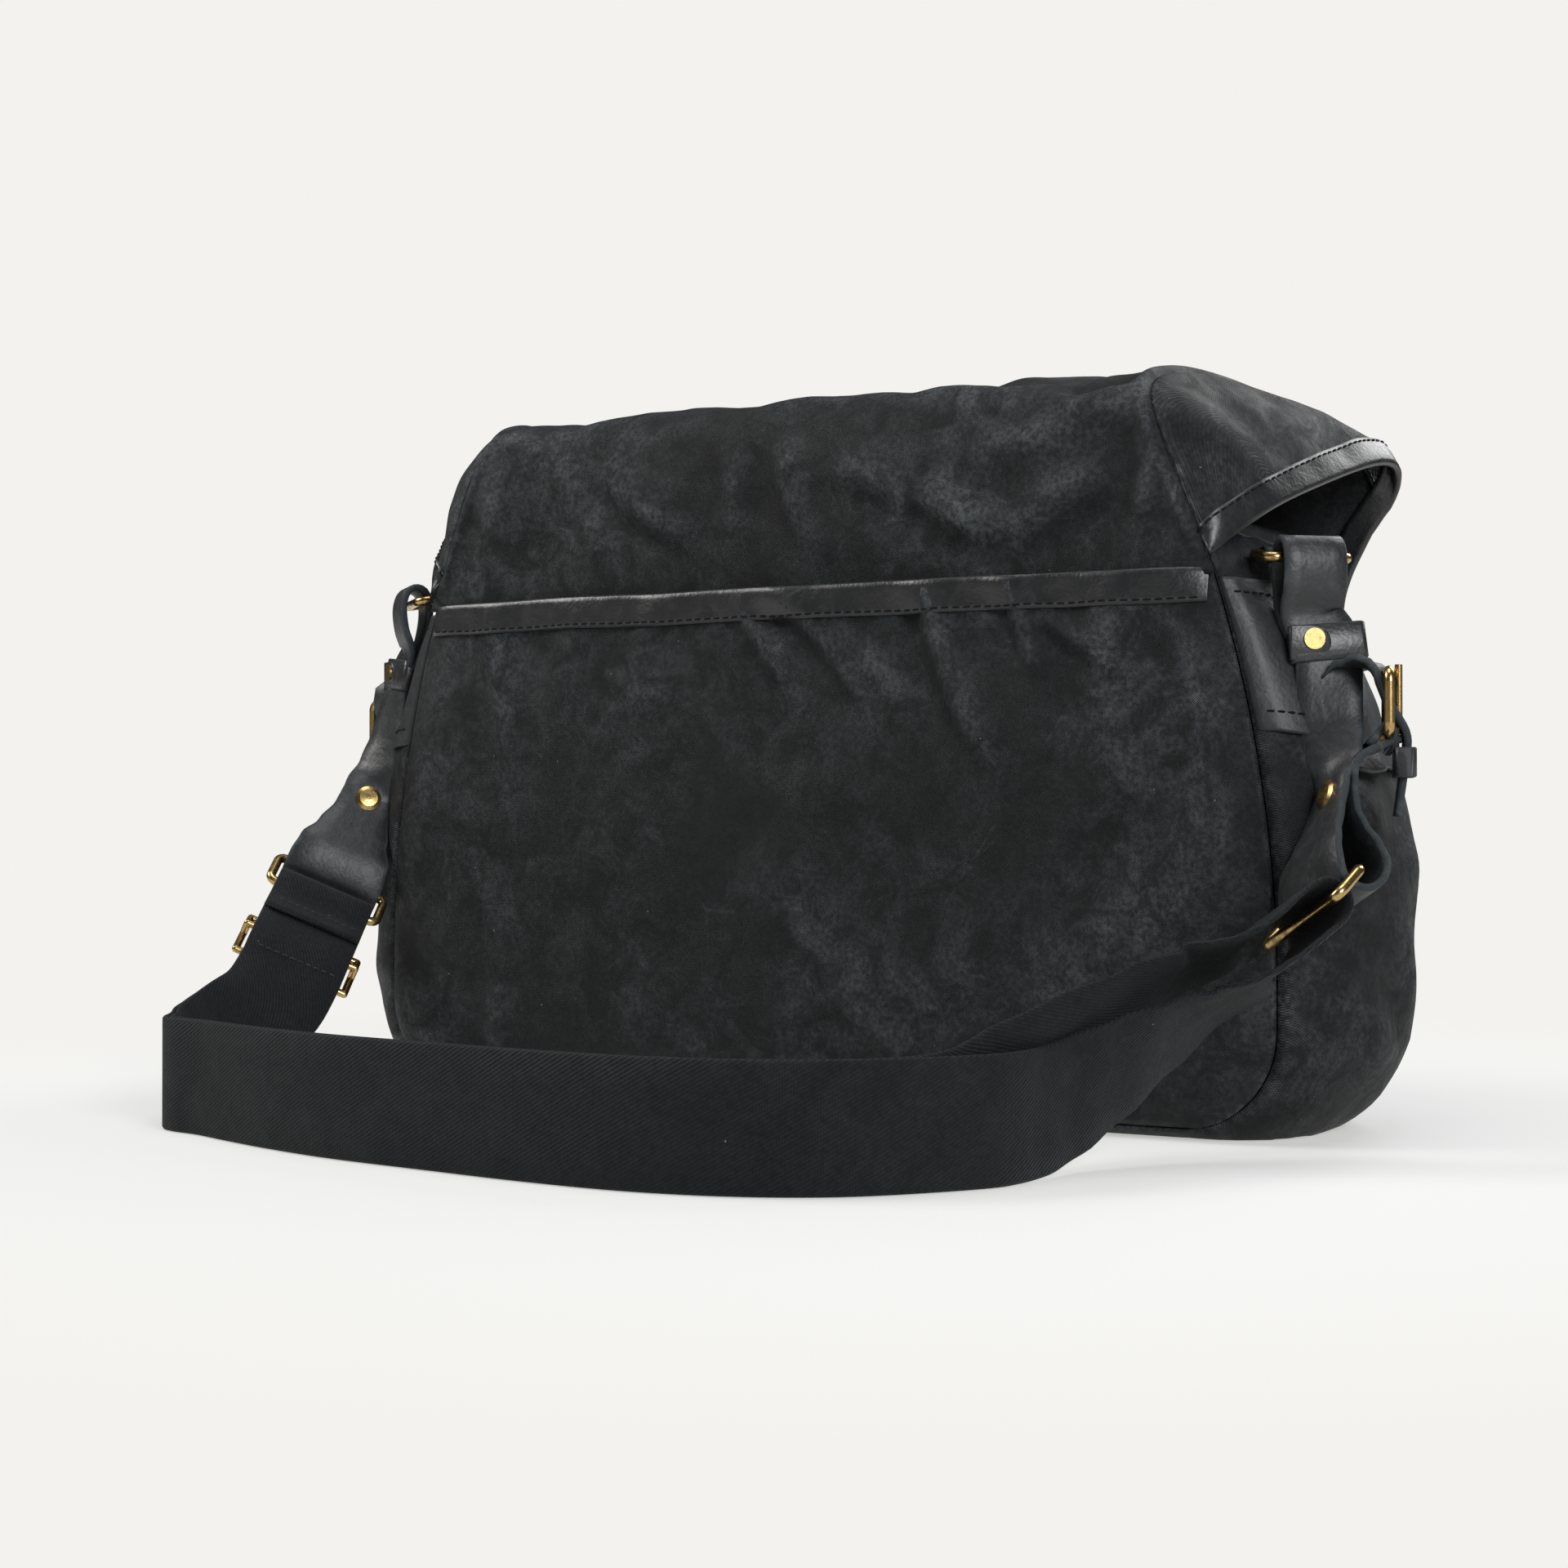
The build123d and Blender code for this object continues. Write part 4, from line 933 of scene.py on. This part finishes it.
# ------------------------------------------------------------- gusset patches
PATCH_TOP, PATCH_MEAN_LOW, PATCH_T = 212.0, 150.0, 1.4
PATCH_EDGE = ((-50, 154), (-36, 152), (-26, 140), (-12, 138.5), (10, 141), (30, 139), (44, 150),
              (60, 154))
PATCH_STITCHES = (("top", 206.0), ("low", 158.0))


def build_patches():
    """Leather over the upper half of each gusset, with a wavy lower edge."""
    for name, sign in SIDES.items():
        def place(u, v, sign=sign):
            t = lerp(0.002, 0.998, u)
            y = lerp(BACK_Y, FRONT_Y, crowd(t))
            z = lerp(PATCH_TOP + 0.8 * fuzz((0, y, 0), 20), table(PATCH_EDGE, y), v)
            lift = 2.1 + 2.0 * smooth(0.75, 1.0, v) * (0.5 + fuzz((0, y, z), 14.0, 51.0))
            spot = SIDE_ROWS * (RIM_Z - z) / (RIM_Z - SEAM_Z - CORNER_R) / (len(GUSSET_LINE) - 1)
            point, uv, _ = gusset_place(t, spot)
            x = point.x + lift * smooth(0, 0.06, u) * smooth(0, 0.06, 1 - u) + 0.4
            return Vector((x * sign, y, z)), uv, 0.0

        turn = (lambda u, v: place(u, 1 - v)) if sign > 0 else place
        patch = sheet_object(f"{name}_patch_leather", 46, 56, turn, PATCH_T,
                             [PATCH_LEATHER, EDGE_LEATHER], 1)
        finish_piece(patch, "bag", "binding_leather", f"{name}_gusset_patch")
        for row, z in PATCH_STITCHES:
            v = (PATCH_TOP - z) / (PATCH_TOP - PATCH_MEAN_LOW)
            line = [place(k / 60, v)[0] + Vector((0.5 * sign, 0, 0)) for k in range(1, 60)]
            rows = stitches(f"{name}_patch_{row}_stitches", line,
                            [Vector((sign, -0.2, 0))] * len(line), THREAD, 4.0, 2.8)
            finish_piece(rows, "bag", "binding_leather")


# ------------------------------------------------------- hangers and webbing
RING_BAR = Vector((212.0, -30.0, 219.5))
RING_DIR = Vector((0.74, 0.67, 0.0)).normalized()
RING_PULL, RING_DROP = Vector((0.66, -0.73, -0.16)).normalized(), 16.0
KEEPER_AT, KEEPER_DIR = Vector((218.0, -29.0, 187.0)), Vector((0.82, 0.57, 0.0)).normalized()
SQUARE_AT = Vector((229.0, -66.0, 94.0))
SQUARE_DIR = Vector((0.71, -0.57, 0.40)).normalized()
SQUARE_PULL = Vector((-0.31, -0.75, -0.59)).normalized()
SQUARE_DROP, WEBBING_W, WEBBING_T = 16.5, 44.0, 1.9
STRAP_UP = Vector((-0.09, 0.52, 0.84)).normalized()
LEATHER_T, STRAP_W, LAYER = 2.8, 25.0, 1.6
BAND_HALF = 13.4                  # half the inside width of a keeper
MID_AT, MID_DIR = Vector((220.5, -34.0, 163.0)), Vector((0.945, 0.326, 0.0))
TURN_AT, TURN_DIR = Vector((222.5, -37.5, 147.0)), Vector((1.0, 0.0, 0.06))
BELL = (
    (1.8, 44, 25), (2.6, 34, 26), (5.0, 22, 33), (7.0, 12, 42), (6.0, 3, 44.5),
    (3.4, -3.0, 44.5), (-1.0, -4.6, 44.5), (-7.0, -3.5, 44.5), (-11.5, 2, 44.5),
    (-13.0, 9, 43), (-10.5, 17, 38), (-6.0, 25, 31), (-3.2, 33, 26), (-1.8, 44, 25),
)
LOOP = ((2.2, -22), (5.0, -12), (6.0, -2), (4.0, 5), (0, 7), (-4.0, 5), (-6.0, -2), (-5.0, -12),
        (-2.2, -22))
BILLETS = {
    "right": (
        ((217.0, -25.6, 181.0), (0.80, 0.60, 0)), ((222.5, -24.6, 178.5), (0.55, 0.83, 0)),
        ((230.5, -25.8, 179.0), (0.1, 0.99, 0)), ((236.6, -28.4, 175.5), (-0.31, 0.95, 0)),
        ((241.2, -27.0, 164.0), (-0.31, 0.95, 0)), ((247.0, -25.1, 152.5), (-0.31, 0.95, 0)),
        ((246.5, -25.2, 142.0), (-0.31, 0.95, 0)), ((244.0, -26.0, 122.0), (-0.31, 0.95, 0)),
    ),
    "left": (
        ((-217.5, -24.2, 181.0), (-0.90, 0.44, 0)), ((-222.5, -23.0, 178.5), (-0.97, 0.2, 0)),
        ((-227.0, -23.3, 175.5), (-1, 0, 0)), ((-228.0, -19.0, 164.0), (-1, 0, 0)),
        ((-229.5, -13.0, 152.5), (-1, 0, 0)), ((-234.5, -12.4, 142.0), (-1, 0, 0)),
        ((-241.5, -14.0, 122.0), (-1, 0, 0)),
    ),
}
CHAPES = {
    "right": (((229.5, -38.0, 142.0), (0.60, -0.78, 0.15)),
              ((237.5, -29.5, 147.5), (0.31, -0.95, 0)),
              ((241.0, -25.0, 149.3), (0.31, -0.95, 0)), ((243.0, -26.4, 152.4), (0.31, -0.95, 0)),
              ((240.6, -27.0, 156.3), (0.31, -0.95, 0)), ((237.4, -28.4, 152.6), (0.31, -0.95, 0)),
              ((233.5, -31.0, 147.5), (0.4, -0.9, 0.05))),
    "left": (((-226.0, -33.0, 140.0), (-0.94, -0.3, 0.1)), ((-227.5, -23.5, 147.0), (-1, 0, 0)),
             ((-228.0, -18.5, 148.6), (-1, 0, 0)), ((-228.0, -15.2, 152.6), (-1, 0, 0)),
             ((-228.0, -19.0, 156.3), (-1, 0, 0)), ((-228.0, -22.6, 152.4), (-1, 0, 0)),
             ((-227.5, -27.0, 147.5), (-1, 0, 0))),
}


def to_side(vec, sign):
    return Vector((vec[0] * sign, vec[1], vec[2]))


def perpendicular(axis, toward):
    return (toward - axis * toward.dot(axis)).normalized()


def strap_stations(points, width):
    """Strap stations from pairs of (place, direction across the strap)."""
    return [(Vector(at), Vector(across), width) for at, across in points]


def hanger_frames(sign):
    frames = []
    for point, across in ((RING_BAR, RING_DIR), (KEEPER_AT, KEEPER_DIR), (MID_AT, MID_DIR),
                          (TURN_AT, TURN_DIR)):
        width = to_side(across, sign).normalized()
        frames.append((to_side(point, sign), width, width.cross(UP).normalized() * sign))
    return frames


def cap_frame(sign):
    across = to_side(SQUARE_DIR, sign)
    up = perpendicular(across, to_side(STRAP_UP, sign))
    return to_side(SQUARE_AT, sign), across, across.cross(up).normalized() * sign, up


def ring_band(name, origin, across, normal, height, half_w, half_d, thickness, leather):
    """Closed leather band round a strap, with rounded corners and raw rims."""
    loop = rounded_box(half_w, half_d, min(half_d, 2.2), 4)
    rows = ((-0.5, 0.0), (-0.46, 1.0), (0.46, 1.0), (0.5, 0.0))
    verts, count = [], len(loop)
    up = across.cross(normal).normalized()
    for shell in (1, 0):
        for f, full in rows:
            for x, y in loop:
                reach = thickness * (shell * (0.75 + 0.25 * full))
                verts.append(origin + across * (x * (1 + reach / math.hypot(x, y)))
                             + normal * (y + math.copysign(reach, y)) + up * (f * height))
    half, top = count * len(rows), (len(rows) - 1) * count
    faces = tube_faces(len(rows), count)[:-2] + tube_faces(len(rows), count, half, -1)[:-2]
    indices = [1] * count + [0] * count + [1] * count + [0] * (3 * count)
    for k in range(count):
        n = (k + 1) % count
        faces += [(half + k, half + n, n, k), (top + k, top + n, half + top + n, half + top + k)]
        indices += [1, 1]
    return new_object(name, verts, faces, [leather, EDGE_LEATHER], indices)


def keeper_tongue(name, spot, toward_edge, normal):
    """Lapped end of a keeper: flat with a round end about the rivet at spot."""
    reach, half, steps, sunk = 9.0, 6.6, 16, 1.5
    outline = [(reach, -half), (reach, half)]
    outline += [(-half * math.sin(math.pi * k / steps), half * math.cos(math.pi * k / steps))
                for k in range(steps + 1)]
    levels = ((1.0, -0.6), (1.0, 0.35), (0.93, 0.62), (0.0, 0.64))
    verts = [spot + (toward_edge * x + UP * y) * shrink + normal * depth - UP * sunk
             for shrink, depth in levels for x, y in outline]
    size = len(outline)
    faces = tube_faces(len(levels), size)[:-2]
    indices = [int(k < size) for k in range(len(faces))]
    return new_object(name, verts, faces, [BINDING_LEATHER, EDGE_LEATHER], indices)


def build_hangers():
    for name, sign in SIDES.items():
        bar, width, out, up = cap_frame(sign)
        bell = [(bar + out * n + up * u, width, w) for n, u, w in BELL]
        ring, keeper, middle, turn = hanger_frames(sign)
        front = [(at + n * LAYER, across, STRAP_W) for at, across, n in (turn, middle, keeper)]
        over = [(ring[0] + ring[2] * n + UP * u, ring[1], STRAP_W) for n, u in LOOP]
        behind = [(keeper[0] - keeper[2] * LAYER, keeper[1], STRAP_W)]
        behind += strap_stations(BILLETS[name], STRAP_W)
        chape = strap_stations(CHAPES[name], STRAP_W)
        path = chape[::-1] + bell[::-1] + front + over + behind
        end = path[-1]
        path[-1] = (end[0], end[1], 17.0)
        leather = strap(f"{name}_hanger_leather", path, LEATHER_T, [STRAP_LEATHER, EDGE_LEATHER],
                        step=1.6)[0]
        finish_piece(leather, "strap", "strap_leather", f"{name}_hanger_strap")
        k_up = (ring[0] - middle[0]).normalized()
        k_normal = perpendicular(k_up, keeper[2])
        k_across = k_normal.cross(k_up).normalized()
        band = ring_band(f"{name}_keeper_leather", keeper[0], k_across, k_normal, 14.0, BAND_HALF,
                         3.0, 1.5, BINDING_LEATHER)
        finish_piece(band, "strap", "strap_leather", f"{name}_hanger_keeper")
        spot = keeper[0] + keeper[2] * 4.4 - keeper[1] * (6.0 * sign) + UP * 1.5
        tongue = keeper_tongue(f"{name}_keeper_tongue", spot, -keeper[1] * sign, keeper[2])
        finish_piece(tongue, "strap", "strap_leather")
        at = Vector(BILLETS[name][-2][0])
        across = Vector(BILLETS[name][-2][1]).normalized()
        loop = ring_band(f"{name}_buckle_keeper_leather", at, across,
                         across.cross(UP).normalized(), 11.0, BAND_HALF, 2.2, 1.8, STRAP_LEATHER)
        finish_piece(loop, "strap", "strap_leather", f"{name}_buckle_keeper")


# The tab's section as (off its face, away from the gusset), measured from the ring's inner bar.
TAB_FOLD = ((0.72, -15.2), (0.72, -9.0), (0.95, -5.6), (2.15, -2.5), (2.8, 0.0), (2.0, 2.0),
            (0.0, 2.8), (-2.0, 2.0), (-2.8, 0.0), (-2.15, -2.5), (-0.95, -5.6), (-0.72, -9.0),
            (-0.72, -15.2))
TAB_W, TAB_T, TAB_STITCH_IN, TAB_STITCH_OFF = 24.0, 1.35, 7.2, 1.5


def build_ring_tabs():
    """Leather folded round the inner bar of each side ring and sewn to the gusset."""
    for name, sign in SIDES.items():
        along = to_side(RING_DIR, sign)
        pull = perpendicular(along, to_side(RING_PULL, sign))
        face = along.cross(pull)
        bar = to_side(RING_BAR, sign) - pull * RING_DROP
        path = [(bar + face * n + pull * z, along, TAB_W) for n, z in TAB_FOLD]
        tab = strap(f"{name}_tab_fold", path, TAB_T, [STRAP_LEATHER, EDGE_LEATHER], step=0.5)[0]
        finish_piece(tab, "bag", "strap_leather", f"{name}_ring_tab")
        for row, way in (("front", 1), ("rear", -1)):
            line = [bar + along * a - pull * TAB_STITCH_IN + face * (way * TAB_STITCH_OFF)
                    for a in range(-10, 11)]
            rows = stitches(f"{name}_tab_{row}_stitches", line, [face * way] * len(line), THREAD,
                            3.2, 2.4, 0.35)
            finish_piece(rows, "bag", "strap_leather")


STRAP_RUN = (
    ((-201.0, -140.0, 43.5), (-0.66, -0.48, 0.57)), ((-201.0, -160.0, 34.5), (-0.52, -0.33, 0.78)),
    ((-199.0, -181.0, 27.0), (-0.28, -0.14, 0.95)), ((-195.5, -199.0, 22.6), (-0.06, 0, 1)),
    ((-190.5, -211.0, 22), (0, 0, 1)),
    ((-181.0, -216.5, 22), (0, 0, 1)), ((-165.0, -220.0, 22), (0, 0, 1)),
    ((-142.0, -228.5, 22), (0, 0, 1)), ((-112.0, -238.5, 22), (0, 0, 1)),
    ((-76.0, -247.5, 22), (0, 0, 1)), ((-31.0, -254.0, 22), (0, 0, 1)),
    ((15.0, -260.0, 22), (0, 0, 1)), ((56.0, -261.5, 22), (0, 0, 1)),
    ((90.0, -255.5, 22), (0, 0, 1)), ((117.0, -243.0, 22), (0, 0, 1)),
    ((136.0, -226.0, 22), (0, 0, 1)),
)
RISE_OUT = (
    ((156.0, -201.0, 22), (0, 0, 1)), ((161.5, -186.0, 22), (0, 0, 1)),
    ((163.5, -166.0, 22.5), (0, 0, 1)), ((166.5, -147.0, 26), (0.1, -0.05, 1)),
    ((175.0, -128.0, 34), (0.3, -0.2, 0.93)), ((188.0, -111.0, 45), (0.5, -0.4, 0.75)),
    ((203.0, -99.0, 56), (0.65, -0.52, 0.52)),
)
RETURN_IN = (
    ((190.0, -106.0, 67), (0.62, -0.5, 0.55)), ((174.5, -128.0, 53), (0.42, -0.35, 0.8)),
    ((162.0, -155.0, 40), (0.2, -0.15, 0.95)), ((153.0, -183.0, 30), (0.05, 0, 1)),
    ((147.0, -203.0, 23.5), (0, 0, 1)),
)
SEWN_END = ((28, -7.4), (20, -5.6), (13, -4.2), (1, -6.0), (-4.5, -4.5), (-6.4, 0), (-4.5, 4.5),
            (1, 6.0), (9, 3.0), (18, 1.4), (58, 1.4))
THREADED = ((58, -1.4), (50, -3.6), (44, -4.9), (32, -4.9), (25, -4.6))
U_TURN = ((25, 7), (10, 8), (0, 8), (-6, 5.5), (-8.5, 0), (-6, -5.5), (0, -8), (10, -8.5),
          (25, -8.5))


def webbing_frame(sign):
    across = to_side(SQUARE_DIR, sign)
    pull = perpendicular(across, to_side(SQUARE_PULL, sign))
    along = perpendicular(across, to_side(Vector((-0.48, -0.66, -0.58)), sign))
    outer = across.cross(along) * sign
    return to_side(SQUARE_AT, sign) + pull * SQUARE_DROP, across, along, outer


def shifted(stations, distance):
    moved = []
    for i, (at, across, width) in enumerate(stations):
        before, after = stations[max(i - 1, 0)][0], stations[min(i + 1, len(stations) - 1)][0]
        moved.append((at + across.cross(after - before).normalized() * distance, across, width))
    return moved


def round_bar(sign, points):
    """Stations of webbing near a lower ring, from (along the strap, outward) distances."""
    bar, across, along, outer = webbing_frame(sign)
    return [(bar + along * q + outer * m, across, WEBBING_W) for q, m in points]


def build_webbing():
    run, rise, back = (strap_stations(part, WEBBING_W) for part in (STRAP_RUN, RISE_OUT, RETURN_IN))
    half = 1.25
    out_leg = round_bar(-1, SEWN_END) + shifted(run, -half) + rise
    in_leg = back + shifted(run, half)[::-1] + round_bar(-1, THREADED)
    path = out_leg + round_bar(1, U_TURN) + in_leg
    band, frames = strap("webbing_strap", path, WEBBING_T, [WEBBING, WEBBING], 0.02, 2.5)
    finish_piece(band, "strap", "webbing", "webbing")
    bar, across, along, outer = webbing_frame(-1)
    for name, spot, face in (("sewn_end", 19.0, -6.45), ("slider_end", 52.0, -4.1)):
        line = [bar + along * spot + outer * face + across * a for a in range(-20, 21, 2)]
        rows = stitches(f"{name}_stitches", line, [-outer] * len(line), GREY_THREAD, 3.6, 2.6, 0.4)
        finish_piece(rows, "strap", "webbing")


# ---------------------------------------------------------- closures in front
def build_closures():
    """Upright straps on the flap, each in two parts: end_width is at the pointed end."""
    for name in SIDES:
        low, high = box_mm(f"{name}_closure_strap")
        x = (low.x + high.x) / 2
        for node, piece, pointed, end_width in (("closure_strap", "closure_leather", 0, 15.0),
                                                ("closure_tab", "tab_leather", 8, 14.0)):
            low, high = box_mm(f"{name}_{node}")
            y = (low.y + high.y) / 2
            points = [(Vector((x, y, lerp(high.z, low.z, k / 8))), Vector((1, 0, 0)),
                       end_width if k == pointed else STRAP_W) for k in range(9)]
            leather = strap(f"{name}_{piece}", points, LEATHER_T, [STRAP_LEATHER, EDGE_LEATHER])[0]
            finish_piece(leather, "flap", "strap_leather", f"{name}_{node}")


def dress_frame():
    """Gives every CAD node that stays visible its material."""
    brass = ("closure_buckle", "closure_prong", "snap_cap", "snap_stud", "side_ring", "lower_ring",
             "hanger_cap", "keeper_rivet", "hanger_buckle", "hanger_prong")
    for node in ["strap_slider"] + [f"{side}_{part}" for side in SIDES for part in brass]:
        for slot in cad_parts[node].material_slots:
            slot.material = BRASS


# ------------------------------------------------------ camera, light and floor
PAPER = (0.896, 0.887, 0.858)
GLOW = 0.5     # share of the floor near the bag that glows, which keeps its shadow pale


def build_stage():
    camera = bpy.data.cameras.new("camera")
    camera.lens, camera.sensor_width = 58.1, 36.0
    camera.clip_end = 50
    view = bpy.data.objects.new("camera", camera)
    view.location = (0.5116, -0.9544, 0.122)
    view.rotation_euler = (math.radians(90.74), 0, math.radians(29.7))
    bpy.context.collection.objects.link(view)
    bpy.context.scene.camera = view

    world = bpy.data.worlds.new("studio")
    bpy.context.scene.world = world
    world.use_nodes = True
    nodes, links = world.node_tree.nodes, world.node_tree.links
    seen = nodes["Background"]
    seen.inputs[0].default_value = (*PAPER, 1)
    dim = nodes.new("ShaderNodeBackground")
    dim.inputs[0].default_value = (0.85, 0.93, 1.0, 1)
    dim.inputs[1].default_value = 0.06
    pick, path = nodes.new("ShaderNodeMixShader"), nodes.new("ShaderNodeLightPath")
    links.new(path.outputs["Is Camera Ray"], pick.inputs[0])
    links.new(dim.outputs[0], pick.inputs[1])
    links.new(seen.outputs[0], pick.inputs[2])
    links.new(pick.outputs[0], nodes["World Output"].inputs[0])
    bpy.context.scene.view_settings.view_transform = "Standard"

    n = Nodes("paper_floor")
    n.look(Base_Color=(0.78, 0.79, 0.80, 1), Roughness=0.8, Specular_IOR_Level=0.1)
    length = n.add("VectorMath", operation="LENGTH", Vector=n.add("TexCoord").outputs["Object"])
    far = n.plus(n.times(n.ramp(length.outputs["Value"], 0.24, 0.6), 1 - GLOW), GLOW)
    glow = n.add("Emission", Color=(*PAPER, 1))
    mix = n.add("MixShader")
    for socket, value in zip(mix.inputs, (far, n.shader.outputs[0], glow.outputs[0])):
        n.put(socket, value)
    n.put(n.tree.nodes["Material Output"].inputs[0], mix.outputs[0])
    bpy.ops.mesh.primitive_plane_add(size=12, location=(0, 0, -0.0004))
    floor = bpy.context.object
    floor.name = "paper_floor"
    floor.data.materials.append(n.material)

    for name, place, size, power, colour in (
        ("key", (-1.5, -0.75, 1.5), 0.8, 28, (1, 0.98, 0.95)),
        ("side", (1.7, -1.3, 0.9), 0.8, 37, (0.95, 0.98, 1)),
        ("back", (0.6, 1.5, 1.5), 1.2, 24, (1, 1, 1)),
        ("top", (0.1, -0.2, 2.0), 1.0, 14, (1, 1, 1)),
    ):
        lamp = bpy.data.lights.new(name, "AREA")
        lamp.energy, lamp.size, lamp.color = power, size, colour
        obj = bpy.data.objects.new(name, lamp)
        obj.location = place
        aim = Vector((0, 0, 0.12)) - Vector(place)
        obj.rotation_euler = aim.to_track_quat("-Z", "Y").to_euler()
        bpy.context.collection.objects.link(obj)


build_stage()
build_webbing()
build_hangers()
build_ring_tabs()
build_body()
build_mouth()
build_lining()
build_pocket_binding()
build_hood()
build_patches()
build_closures()
dress_frame()
